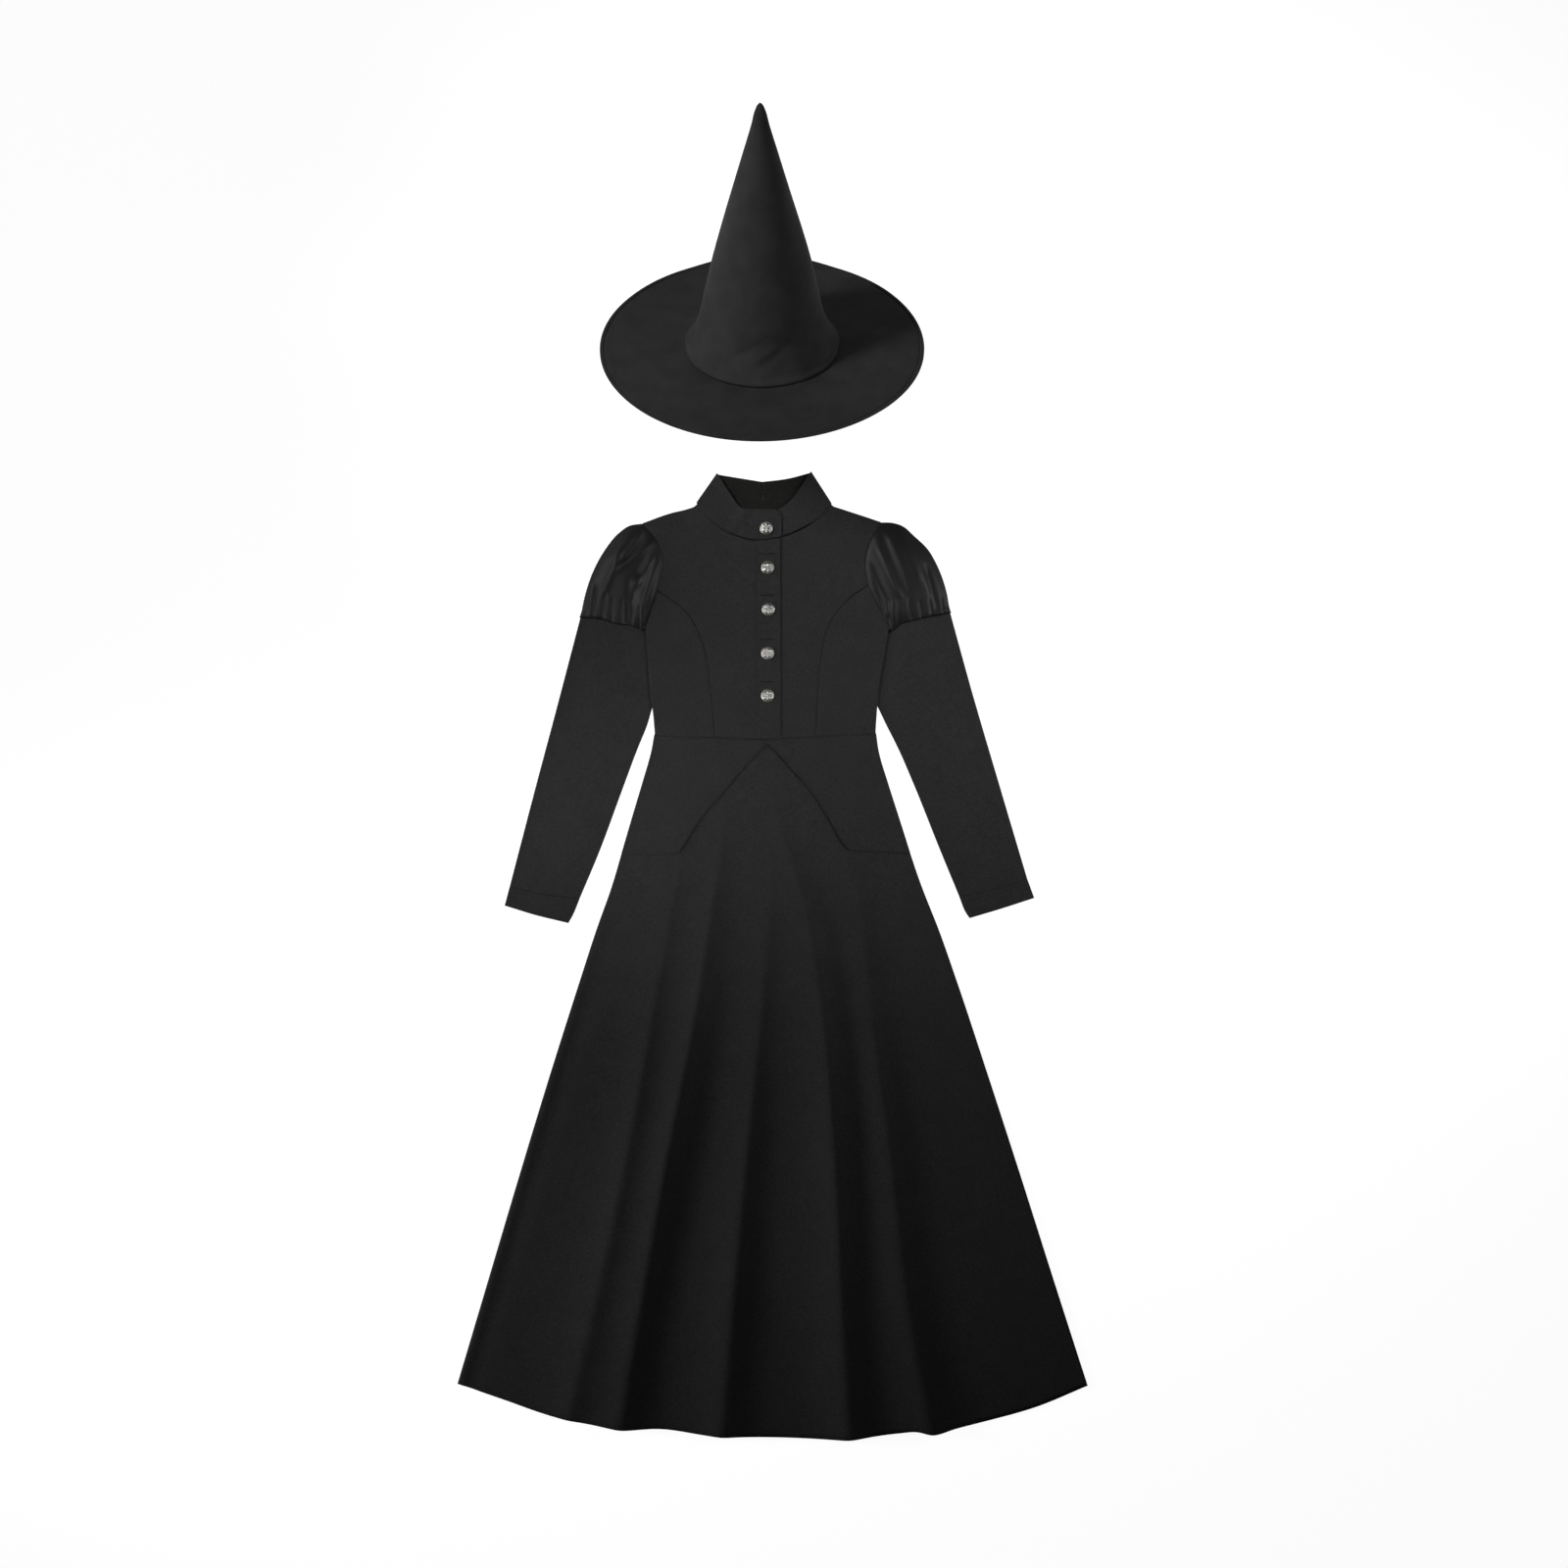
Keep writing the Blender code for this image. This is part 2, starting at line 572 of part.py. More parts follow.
def build_sleeves():
    """Puff, sleeve and cuff of each arm, each a flattened tube."""
    for end, puff, sleeve, cuff in (
        ("left", PUFF_LEFT, SLEEVE_LEFT, CUFF_LEFT),
        ("right", PUFF_RIGHT, SLEEVE_RIGHT, CUFF_RIGHT),
    ):
        columns, rows = 33, 7
        head = smooth_line(puff["armhole"], columns)
        foot = smooth_line(puff["foot"], columns)
        outer = smooth_line(puff["outer"], rows)
        inner = smooth_line((head[-1], foot[-1]), rows)
        front, back = tube_layers(head, foot, outer, inner, puff_height)
        back = back[:, ::2]
        add_cloth("puff_" + end, on_dress(folded(front, back, True)), SATIN, closed=True)

        columns, rows = 11, 12
        head = smooth_line(sleeve["head"], columns)
        seam = smooth_line(sleeve["seam"], columns)
        outer = smooth_line(sleeve["outer"], rows)
        inner = smooth_line(sleeve["inner"], rows)
        front, back = tube_layers(head, seam, outer, inner, sleeve_height)
        back = back[:, ::2]
        add_cloth("sleeve_" + end, on_dress(folded(front, back, True)), SUITING, closed=True)

        edge = smooth_line(cuff["edge"], columns)
        onward = edge.mean(axis=0) - seam.mean(axis=0)
        seam = seam + onward / np.linalg.norm(onward) * SEAM_GAP
        outer = smooth_line((seam[0], edge[0]), 4)
        inner = smooth_line((seam[-1], cuff["corner"], edge[-1]), 4)
        front, back = tube_layers(seam, edge, outer, inner, sleeve_height)
        back = back[:, ::2]
        add_cloth("cuff_" + end, on_dress(folded(front, back, True)), SUITING, closed=True)


def waist_line(left, right, count, drop):
    """The waist seam between two x positions, moved down a little."""
    xs = np.linspace(left, right, count)
    ys = np.interp(xs, [spot[0] for spot in WAIST], [spot[1] for spot in WAIST]) - drop
    return np.stack([xs, ys], axis=1)


def build_skirt():
    """Skirt front with its fanning folds, and the plain back below it."""
    columns, rows = 45, 12
    top = waist_line(-171.5, 162, columns, 1.2)
    hem = hem_line(columns)
    left = side_line(hem[0][1], top[0][1], 1, rows)
    right = side_line(hem[-1][1], top[-1][1], 2, rows)
    for line, start, end in ((left, top[0], hem[0]), (right, top[-1], hem[-1])):
        line[0] = start
        line[-1] = end
    add_panel("skirt_front", four_sided(top, hem, left, right), skirt_level)
    hide = np.array([0.6, 0.0])
    picks = np.linspace(0, columns - 1, 15).round().astype(int)
    plan = four_sided(top[picks], hem[picks] + (0, 1.0), left + hide, right - hide)
    add_panel("skirt_back", plan, skirt_back_level)


def right_flap_level(x, y):
    over = (LAYER + 2 * SLOPE_SPARE) * (1 - smooth_step((x - 22) / 34))
    return flap_level(x, y) + over


def flap_level(x, y):
    """Underside of a flap: on the skirt, and lifting a little towards its free edge."""
    free = smooth_step((-y - 60) / 115)
    return peplum_level(x, y) + FLAP_LIFT * free


def build_peplum():
    """Two cutaway flaps over the skirt front, and the peplum's back under the skirt back."""
    columns, rows = 13, 9
    top = waist_line(-171.5, 6, columns, 1.0)
    free = smooth_line(FLAP_LEFT, rows)
    side = side_line(PEPLUM_DROP, top[0][1], 1, rows)
    side[0] = top[0]
    free[0] = top[-1]
    bottom = smooth_line((side[-1], (-180, -174.5), free[-1]), columns)
    add_panel("peplum_front_left", four_sided(top, bottom, side, free), flap_level)

    top = waist_line(-21, 162, columns, 1.0)
    free = smooth_line(FLAP_RIGHT, rows)
    side = side_line(-172, top[-1][1], 2, rows)
    side[0] = top[-1]
    free[0] = top[0]
    bottom = smooth_line((free[-1], (170, -171), side[-1]), columns)
    add_panel("peplum_front_right", four_sided(top, bottom, free, side), right_flap_level)

    hide = np.array([0.8, 0.0])
    top = waist_line(-171, 161.5, 9, 1.5)
    left = side_line(PEPLUM_DROP + 1, top[0][1], 1, 5) + hide
    right = side_line(PEPLUM_DROP + 1, top[-1][1], 2, 5) - hide
    top[0] = left[0]
    top[-1] = right[0]
    bottom = smooth_line((left[-1], (0, PEPLUM_DROP), right[-1]), 9)
    add_panel("peplum_back", four_sided(top, bottom, left, right), lambda x, y: np.zeros_like(x))


def add_turned(name, profile, looks, steps):
    """A round solid turned from its outline, which starts and ends on the axis."""
    bm = bmesh.new()
    verts = [bm.verts.new((radius * MM, 0.0, height * MM)) for radius, height in profile]
    for first, second in zip(verts, verts[1:]):
        bm.edges.new((first, second))
    made = add_object(name, bm, looks)
    turn = made.modifiers.new("Turn", "SCREW")
    turn.steps = steps
    turn.render_steps = steps
    turn.use_merge_vertices = True
    turn.merge_threshold = 0.00001
    return made


def build_buttons():
    """Domed buttons seated on the lap."""
    for name, x, y in BUTTON_ROWS:
        level = collar_lap_level if y > 303 else lap_level
        around = np.linspace(0, 2 * math.pi, 12, endpoint=False)
        xs = np.concatenate([[x], x + 10 * np.cos(around)])
        ys = np.concatenate([[y], y + 10 * np.sin(around)])
        seat = level(xs, ys).max() + LAYER
        button = add_turned(name, BUTTON_PROFILE, METAL, 16)
        button.location = on_dress(np.array([x, y, seat]))


def crown_walls():
    """Outline of the crown: down the outside, then up the inside to the axis."""
    outer = np.array(CROWN_PROFILE, dtype=float)
    along = np.gradient(outer, axis=0)
    along /= np.linalg.norm(along, axis=1, keepdims=True)
    inward = np.stack([along[:, 1], -along[:, 0]], axis=1)
    inner = outer + inward * HAT_CLOTH
    inner = inner[3:]
    tip = np.array([[0.0, inner[0][1] + 8]])
    return np.concatenate([outer, inner[::-1], tip])


def brim_spot(x, back, lift):
    """A point of the brim: flat in front, bent at the back to lie on the floor."""
    flat_from = BRIM_RADIUS - BRIM_CONTACT
    bend_start = flat_from - BRIM_BEND * BRIM_LEAN / 2
    bend_end = flat_from + BRIM_BEND * BRIM_LEAN / 2
    if back > bend_end:
        angle, y, z = 0.0, back - bend_end, 0.0
    elif back > bend_start:
        angle = (bend_end - back) / BRIM_BEND
        y, z = -BRIM_BEND * math.sin(angle), BRIM_BEND * (1 - math.cos(angle))
    else:
        angle = BRIM_LEAN
        y = -BRIM_BEND * math.sin(angle) - (bend_start - back) * math.cos(angle)
        z = BRIM_BEND * (1 - math.cos(angle)) + (bend_start - back) * math.sin(angle)
    y += lift * math.sin(angle)
    z += lift * math.cos(angle)
    return (x, y, z)


def build_hat():
    """A round brim leaning back on its own rear edge, and a hollow cone on it."""
    segments, rings = 48, 6
    radii = np.linspace(HEAD_RADIUS, BRIM_RADIUS, rings)
    points = np.zeros((rings, segments + 1, 3))
    for row, radius in enumerate(radii):
        for column in range(segments + 1):
            angle = 2 * math.pi * (column % segments) / segments
            spot = brim_spot(radius * math.sin(angle), radius * math.cos(angle), HAT_CLOTH / 2)
            points[row, column] = spot
    points += np.array([HAT_X, HAT_BEND_Y, 0.0])
    add_cloth("hat_brim", points * MM, HAT_FINISH, wall=HAT_CLOTH, closed=True)
    crown = add_turned("hat_crown", crown_walls(), HAT_FINISH, 30)
    centre = brim_spot(0.0, 0.0, HAT_CLOTH / 2)
    crown.location = ((HAT_X + centre[0]) * MM, (HAT_BEND_Y + centre[1]) * MM, centre[2] * MM)
    crown.rotation_euler = (-BRIM_LEAN, 0.0, 0.0)


SUITING = ((0.022, 0.022, 0.023), 0.85, 0.0, 0.2)
SATIN = ((0.014, 0.014, 0.015), 0.42, 0.0, 0.1)
HAT_FINISH = ((0.026, 0.026, 0.027), 0.6, 0.0, 0.3)
METAL = ((0.42, 0.41, 0.39), 0.35, 1.0, 0.0)

for old in list(bpy.data.objects):
    bpy.data.objects.remove(old, do_unlink=True)
costume = bpy.data.collections.new("witch_costume")
bpy.context.scene.collection.children.link(costume)
build_skirt()
build_peplum()
build_backs()
build_fronts()
build_collar()
build_sleeves()
build_buttons()
build_hat()
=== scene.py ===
import math

import bmesh
import bpy
import numpy as np
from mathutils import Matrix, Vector


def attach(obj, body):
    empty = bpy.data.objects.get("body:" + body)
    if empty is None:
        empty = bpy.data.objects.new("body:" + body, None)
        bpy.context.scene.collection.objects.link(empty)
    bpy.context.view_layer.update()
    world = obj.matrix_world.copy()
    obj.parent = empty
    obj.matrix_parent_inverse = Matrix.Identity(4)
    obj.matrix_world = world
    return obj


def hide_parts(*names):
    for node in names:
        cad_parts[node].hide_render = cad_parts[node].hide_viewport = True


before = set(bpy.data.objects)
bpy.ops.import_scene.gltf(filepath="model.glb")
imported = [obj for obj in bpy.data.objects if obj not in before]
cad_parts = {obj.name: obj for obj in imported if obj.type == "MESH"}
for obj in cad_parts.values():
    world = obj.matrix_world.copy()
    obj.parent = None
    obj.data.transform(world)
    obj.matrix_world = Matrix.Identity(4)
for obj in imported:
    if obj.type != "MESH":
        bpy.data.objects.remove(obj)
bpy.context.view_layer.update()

mm = 0.001

# where the waist's centre front lies in the frame, in mm, and the floor of the whole dress
place = {"waist": (-6.5, 111.8), "clothWall": 1.2, "layerGap": 0.3, "slopeSpare": 0.15, "seamGap": 0.35}
layerStep = place["clothWall"] + place["layerGap"]


# small helpers for curves and grids


def smoothStep(value):
    value = np.clip(value, 0.0, 1.0)
    return value * value * (3.0 - 2.0 * value)


def bell(value):
    return np.exp(-value * value)


def smoothLine(points, count):
    # evenly spaced points on a smooth curve through the given ones
    points = np.array(points, dtype=float)
    steps = np.linalg.norm(np.diff(points, axis=0), axis=1)
    along = np.concatenate(([0.0], np.cumsum(steps)))
    tangents = np.gradient(points, along, axis=0)
    spots = np.linspace(0.0, along[-1], 400)
    span = np.clip(np.searchsorted(along, spots, side="right") - 1, 0, len(along) - 2)
    width = (along[span + 1] - along[span])[:, None]
    part = ((spots - along[span]) / width[:, 0])[:, None]
    fine = (
        (2 * part**3 - 3 * part**2 + 1) * points[span]
        + (part**3 - 2 * part**2 + part) * width * tangents[span]
        + (3 * part**2 - 2 * part**3) * points[span + 1]
        + (part**3 - part**2) * width * tangents[span + 1]
    )
    lengths = np.concatenate(([0.0], np.cumsum(np.linalg.norm(np.diff(fine, axis=0), axis=1))))
    marks = np.linspace(0.0, lengths[-1], count)
    return np.stack([np.interp(marks, lengths, fine[:, axis]) for axis in range(points.shape[1])], axis=1)


def joinedLines(*lines):
    return np.concatenate([lines[0]] + [line[1:] for line in lines[1:]])


def fourSided(top, bottom, left, right):
    # fills the space between four edges, rows running from top to bottom
    across = np.linspace(0.0, 1.0, len(top))[None, :, None]
    down = np.linspace(0.0, 1.0, len(left))[:, None, None]
    corners = (
        (1 - across) * (1 - down) * top[0]
        + across * (1 - down) * top[-1]
        + (1 - across) * down * bottom[0]
        + across * down * bottom[-1]
    )
    return (1 - down) * top[None] + down * bottom[None] + (1 - across) * left[:, None] + across * right[:, None] - corners


def edgeDistances(plan):
    # how far each point is from the left, right, top and bottom edge of its panel
    return (
        np.linalg.norm(plan - plan[:, :1], axis=-1),
        np.linalg.norm(plan - plan[:, -1:], axis=-1),
        np.linalg.norm(plan - plan[:1], axis=-1),
        np.linalg.norm(plan - plan[-1:], axis=-1),
    )


def seamDip(distance, width=2.6, depth=0.4):
    return -depth * bell(distance / width)


def softWaves(x, y, size, amount, seed):
    # slow uneven swells, so that no panel is perfectly even
    turn = seed * 1.7
    first = np.sin(x / size * 1.9 + y / size * 0.7 + turn)
    second = np.sin(x / size * -0.8 + y / size * 1.6 + turn * 2.3)
    third = np.sin(x / size * 3.1 + y / size * 1.1 + turn * 0.6)
    return amount * (first + second + 0.6 * third) / 2.6


def crease(x, y, start, end, width, height):
    # one soft ridge (height above 0) or trough (below 0) between two points
    startX, startY = start
    runX, runY = end[0] - startX, end[1] - startY
    length = math.hypot(runX, runY)
    along = ((x - startX) * runX + (y - startY) * runY) / length**2
    side = ((x - startX) * runY - (y - startY) * runX) / length
    fade = smoothStep(along / 0.25) * smoothStep((1 - along) / 0.25)
    return height * fade * bell(side / width)


# materials


def newMaterial(name):
    material = bpy.data.materials.new(name)
    material.use_nodes = True
    return material, material.node_tree.nodes, material.node_tree.links


def clothMaterial(look):
    material, nodes, links = newMaterial(look["name"])
    shader = nodes["Principled BSDF"]
    shader.inputs["Roughness"].default_value = look["roughness"]
    shader.inputs["Specular IOR Level"].default_value = look["specular"]
    shader.inputs["Sheen Weight"].default_value = look["sheen"]
    shader.inputs["Sheen Roughness"].default_value = look["sheenRoughness"]
    shader.inputs["Sheen Tint"].default_value = (*look["sheenColor"], 1.0)
    where = nodes.new("ShaderNodeTexCoord")
    turn = nodes.new("ShaderNodeMapping")
    turn.inputs["Rotation"].default_value = (0.0, 0.0, math.radians(look["weaveAngle"]))
    links.new(where.outputs["Object"], turn.inputs["Vector"])
    # broad mottling of the dye
    mottle = nodes.new("ShaderNodeTexNoise")
    mottle.inputs["Scale"].default_value = look["mottleScale"]
    mottle.inputs["Detail"].default_value = 4.0
    links.new(where.outputs["Object"], mottle.inputs["Vector"])
    tone = nodes.new("ShaderNodeValToRGB")
    dark, light = look["dark"], look["light"]
    tone.color_ramp.elements[0].position = 0.32
    tone.color_ramp.elements[0].color = (*dark, 1.0)
    tone.color_ramp.elements[1].position = 0.68
    tone.color_ramp.elements[1].color = (*light, 1.0)
    links.new(mottle.outputs["Fac"], tone.inputs["Fac"])
    # fine diagonal ribs with a little slub
    ribs = nodes.new("ShaderNodeTexWave")
    ribs.wave_type = "BANDS"
    ribs.inputs["Scale"].default_value = look["ribScale"]
    ribs.inputs["Distortion"].default_value = 1.6
    ribs.inputs["Detail"].default_value = 2.0
    ribs.inputs["Detail Scale"].default_value = 3.0
    links.new(turn.outputs["Vector"], ribs.inputs["Vector"])
    slub = nodes.new("ShaderNodeTexNoise")
    slub.inputs["Scale"].default_value = look["slubScale"]
    slub.inputs["Detail"].default_value = 6.0
    slub.inputs["Roughness"].default_value = 0.7
    links.new(turn.outputs["Vector"], slub.inputs["Vector"])
    spread = nodes.new("ShaderNodeMapRange")
    spread.inputs["From Min"].default_value = 0.34
    spread.inputs["From Max"].default_value = 0.66
    spread.inputs["To Min"].default_value = 0.30
    spread.inputs["To Max"].default_value = 1.0
    links.new(slub.outputs["Fac"], spread.inputs["Value"])
    weave = nodes.new("ShaderNodeMath")
    weave.operation = "MULTIPLY_ADD"
    weave.inputs[1].default_value = 0.35
    links.new(ribs.outputs["Fac"], weave.inputs[0])
    links.new(spread.outputs["Result"], weave.inputs[2])
    flecks = nodes.new("ShaderNodeMix")
    flecks.data_type = "RGBA"
    flecks.blend_type = "MULTIPLY"
    flecks.inputs["Factor"].default_value = look["fleck"]
    links.new(tone.outputs["Color"], flecks.inputs["A"])
    links.new(weave.outputs["Value"], flecks.inputs["B"])
    links.new(flecks.outputs["Result"], shader.inputs["Base Color"])
    bump = nodes.new("ShaderNodeBump")
    bump.inputs["Strength"].default_value = look["bump"]
    bump.inputs["Distance"].default_value = 0.0004
    links.new(weave.outputs["Value"], bump.inputs["Height"])
    links.new(bump.outputs["Normal"], shader.inputs["Normal"])
    return material


suitingLook = {
    "name": "charcoalSuiting",
    "dark": (0.0215, 0.0215, 0.0217),
    "light": (0.0235, 0.0235, 0.0237),
    "roughness": 0.9,
    "specular": 0.06,
    "sheen": 0.0,
    "sheenRoughness": 0.5,
    "sheenColor": (0.9, 0.9, 0.92),
    "weaveAngle": 45,
    "mottleScale": 30.0,
    "ribScale": 420.0,
    "slubScale": 300.0,
    "fleck": 0.55,
    "bump": 0.35,
}
satinLook = {
    **suitingLook,
    "name": "blackSatin",
    "dark": (0.0070, 0.0070, 0.0074),
    "light": (0.0085, 0.0085, 0.0089),
    "roughness": 0.5,
    "specular": 0.18,
    "sheen": 0.0,
    "ribScale": 900.0,
    "fleck": 0.15,
    "bump": 0.10,
}
hatLook = {
    **suitingLook,
    "name": "hatCloth",
    "dark": (0.0150, 0.0150, 0.0151),
    "light": (0.0200, 0.0200, 0.0201),
    "roughness": 0.75,
    "specular": 0.05,
    "sheen": 0.0,
    "weaveAngle": 0,
    "ribScale": 700.0,
    "fleck": 0.2,
    "bump": 0.18,
}
# a darker copy of the suiting, painted shade for the shadowed inside of the collar
collarShadeLook = {**suitingLook, "name": "collarPaintedShade", "dark": (0.0105, 0.0105, 0.0098), "light": (0.0125, 0.0125, 0.0118)}
threadLook = {**suitingLook, "name": "blackThread", "dark": (0.012, 0.012, 0.012), "light": (0.020, 0.020, 0.020), "bump": 0.0}
suiting = clothMaterial(suitingLook)
satin = clothMaterial(satinLook)
hatCloth = clothMaterial(hatLook)
thread = clothMaterial(threadLook)
collarShadeCloth = clothMaterial(collarShadeLook)


# making and handing over the pieces


def inFrame(points):
    return (points + np.array([place["waist"][0], place["waist"][1], 0.0])) * mm


def handOver(piece, nodes):
    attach(piece, "root")
    if nodes:
        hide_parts(*nodes)
    return piece


def newPiece(name, bm, material):
    mesh = bpy.data.meshes.new(name)
    bm.to_mesh(mesh)
    bm.free()
    mesh.materials.append(material)
    mesh.shade_smooth()
    piece = bpy.data.objects.new(name, mesh)
    bpy.context.scene.collection.objects.link(piece)
    return piece


def clothPiece(name, points, material, wall, closed=False):
    rows, columns = points.shape[:2]
    bm = bmesh.new()
    bmesh.ops.create_grid(bm, x_segments=columns - 1, y_segments=rows - 1, size=1.0)
    for vert, spot in zip(bm.verts, points.reshape(-1, 3)):
        vert.co = spot
    if closed:
        bmesh.ops.remove_doubles(bm, verts=bm.verts, dist=1e-6)
    piece = newPiece(name, bm, material)
    thicken = piece.modifiers.new("wall", "SOLIDIFY")
    thicken.thickness = wall * mm
    thicken.offset = 0.0
    return piece


def stitchLine(name, points, stitch):
    # a row of short raised stitches along a line of points in mm, set on the cloth
    points = np.array(points, dtype=float)
    lengths = np.concatenate(([0.0], np.cumsum(np.linalg.norm(np.diff(points, axis=0), axis=1))))
    count = max(int(lengths[-1] / stitch["pitch"]), 2)
    bm = bmesh.new()
    for index in range(count):
        ends = []
        for mark in (index + 0.14, index + 0.86):
            at = mark * stitch["pitch"]
            ends.append(np.array([np.interp(at, lengths, points[:, axis]) for axis in range(3)]))
        run = ends[1] - ends[0]
        if np.linalg.norm(run) < 0.2:
            continue
        along = Vector(run).normalized()
        side = along.cross(Vector((0, 0, 1))).normalized()
        up = side.cross(along)
        rings = []
        for part, swell in ((0.0, 0.3), (0.25, 0.9), (0.75, 0.9), (1.0, 0.3)):
            middle = Vector(ends[0] + run * part)
            radius = stitch["radius"] * swell
            ring = []
            for corner in range(6):
                angle = corner * math.pi / 3
                spot = middle + side * (radius * math.cos(angle)) + up * (radius * math.sin(angle))
                ring.append(bm.verts.new(inFrame(np.array(spot))))
            rings.append(ring)
        for first, second in zip(rings, rings[1:]):
            for corner in range(6):
                after = (corner + 1) % 6
                bm.faces.new((first[corner], first[after], second[after], second[corner]))
        bm.faces.new(rings[0][::-1])
        bm.faces.new(rings[-1])
    bmesh.ops.recalc_face_normals(bm, faces=bm.faces)
    return handOver(newPiece(name, bm, thread), ())


fineStitch = {"pitch": 2.8, "radius": 0.32}


# outline of the dress, in mm from the waist's centre front

outline = {
    "sides": (  # height, left edge, right edge
        (167, -185.5, 182),
        (124, -182, 175),
        (80, -179, 167.5),
        (31, -173, 163),
        (6, -171, 161.5),
        (-21, -177, 167),
        (-68, -190.5, 181),
        (-115, -204.5, 196),
        (-175, -222, 215),
        (-216, -234, 229),
        (-290, -260, 258),
        (-364, -284, 284),
        (-512, -331, 333),
        (-660, -376, 381),
        (-808, -420, 428),
        (-973, -469, 482),
    ),
    "waist": ((-171, 6), (-84, 2), (0, 0), (71, 3), (162, 9)),
}
sideHeights = [row[0] for row in outline["sides"]][::-1]
leftEdges = [row[1] for row in outline["sides"]][::-1]
rightEdges = [row[2] for row in outline["sides"]][::-1]


def sideLine(low, high, side, count):
    edges = leftEdges if side == "left" else rightEdges
    inner = [(edge, level) for level, edge in zip(sideHeights, edges) if low + 8 < level < high - 8][::-1]
    ends = [(np.interp(level, sideHeights, edges), level) for level in (high, low)]
    return smoothLine([ends[0]] + inner + [ends[1]], count)


def waistLine(left, right, count, drop):
    xs = np.linspace(left, right, count)
    ys = np.interp(xs, [spot[0] for spot in outline["waist"]], [spot[1] for spot in outline["waist"]]) - drop
    return np.stack([xs, ys], axis=1)


def halfWidth(x, y):
    left = np.interp(y, sideHeights, leftEdges)
    right = np.interp(y, sideHeights, rightEdges)
    return np.clip(np.abs(2 * x - left - right) / (right - left), 0.0, 1.0)


# skirt

skirt = {
    "hem": (
        (-469, -973),
        (-398, -997),
        (-339, -1016),
        (-280, -1028),
        (-215, -1038),
        (-161, -1039),
        (-102, -1046),
        (16, -1052),
        (135, -1051),
        (194, -1045),
        (225, -1042),
        (247, -1046),
        (283, -1039),
        (342, -1025.5),
        (401, -1009),
        (482, -976),
    ),
    "foldHeights": (-40, -120, -250, -364, -660, -850, -1050),
    "folds": (  # crest x at each height, crest rise at each height
        ((-104, -118, -145, -166, -220, -261, -308), (0, 0, 3, 5, 8, 8.5, 9)),
        ((-58, -66, -84, -101, -158, -192, -226), (0, 1, 6, 8.5, 12, 12.5, 13)),
        ((2, 4, 2, -7, -36, -54, -70), (0, 0, 2.5, 4.5, 9, 11, 12)),
        ((4, 16, 55, 75, 101, 109, 122), (0, 1.5, 7, 9.5, 13, 13.5, 14)),
        ((96, 108, 138, 150, 187, 209, 246), (0, 0, 4, 6, 9, 10, 11)),
    ),
    "leftEdge": (1.0, -0.9),  # a soft roll along the left edge and the hollow beside it
    "gentleSide": (13, 0.034),  # reach of a fold's long side at the waist, and its growth down the skirt
    "steepSide": (7, 0.026),
    "crestRound": (2.5, 0.007),
    "foldBoost": 1.6,
    "lift": 1.0,
    "waistLevel": 1.5,
    "peplumDrop": -173,
    "columns": 240,
    "rows": 130,
}


def skirtFolds(x, y):
    total = np.zeros_like(x)
    for crest, rise in skirt["folds"]:
        path = smoothLine(list(zip(skirt["foldHeights"], crest, rise)), 60)[::-1]
        crestX = np.interp(y, path[:, 0], path[:, 1])
        crestRise = skirt["foldBoost"] * np.interp(y, path[:, 0], path[:, 2])
        gentle, steep, top = (skirt[part][0] - skirt[part][1] * y for part in ("gentleSide", "steepSide", "crestRound"))
        reach = np.where(x < crestX, gentle, steep)
        total += crestRise * np.exp((top - np.sqrt((x - crestX) ** 2 + top**2)) / reach)
    return total


def skirtBackLevel(x, y):
    return skirt["waistLevel"] * (1 - smoothStep((skirt["peplumDrop"] - 32 - y) / 60))


def skirtLevel(x, y):
    inner = 1 - halfWidth(x, y) ** 4
    return skirtBackLevel(x, y) + layerStep + inner * (skirt["lift"] + skirtFolds(x, y))


def skirtSurface(x, y):
    # the front's underside with its small unevenness
    inner = smoothStep((1 - halfWidth(x, y)) / 0.12) * smoothStep((-y - 190) / 120)
    small = softWaves(x, y, 60, 0.35, 1) + softWaves(x, y, 24, 0.10, 2)
    return skirtLevel(x, y) + inner * small


def raised(plan, level, wall=None):
    height = level(plan[..., 0], plan[..., 1]) + (wall or place["clothWall"]) / 2
    return np.concatenate([plan, height[..., None]], axis=-1)


def skirtPlan(columns, rows):
    top = waistLine(-170.5, 161, columns, -5.0)  # the seam allowance lies under the bodice
    hem = smoothLine(skirt["hem"], columns)
    left = sideLine(hem[0][1], top[0][1], "left", rows)
    right = sideLine(hem[-1][1], top[-1][1], "right", rows)
    left[0], left[-1], right[0], right[-1] = top[0], hem[0], top[-1], hem[-1]
    return top, hem, left, right


def buildSkirt():
    columns, rows = skirt["columns"], skirt["rows"]
    top, hem, left, right = skirtPlan(columns, rows)
    plan = fourSided(top, hem, left, right)
    points = raised(plan, skirtSurface)
    fromLeft, fromRight, fromTop, fromHem = edgeDistances(plan)
    # a pressed hem turn, its edge a hair thicker than the panel
    points[..., 2] += 0.2 * smoothStep((20 - fromHem) / 4) - 0.12 * bell((fromHem - 21) / 2.0)
    roll, hollow = skirt["leftEdge"]
    points[..., 2] += smoothStep((-plan[..., 1] - 200) / 120) * (roll * bell((fromLeft - 7) / 5) + hollow * bell((fromLeft - 24) / 11))
    front = handOver(clothPiece("skirtFront", inFrame(points), suiting, place["clothWall"]), ["skirt_front"])
    hide = np.array([0.6, 0.0])
    picks = np.linspace(0, columns - 1, 80).round().astype(int)
    plan = fourSided(top[picks], hem[picks] + (0, 1.0), left + hide, right - hide)
    back = clothPiece("skirtBack", inFrame(raised(plan, skirtBackLevel)), suiting, place["clothWall"])
    handOver(back, ["skirt_back"])
    print("skirt laid")


# peplum

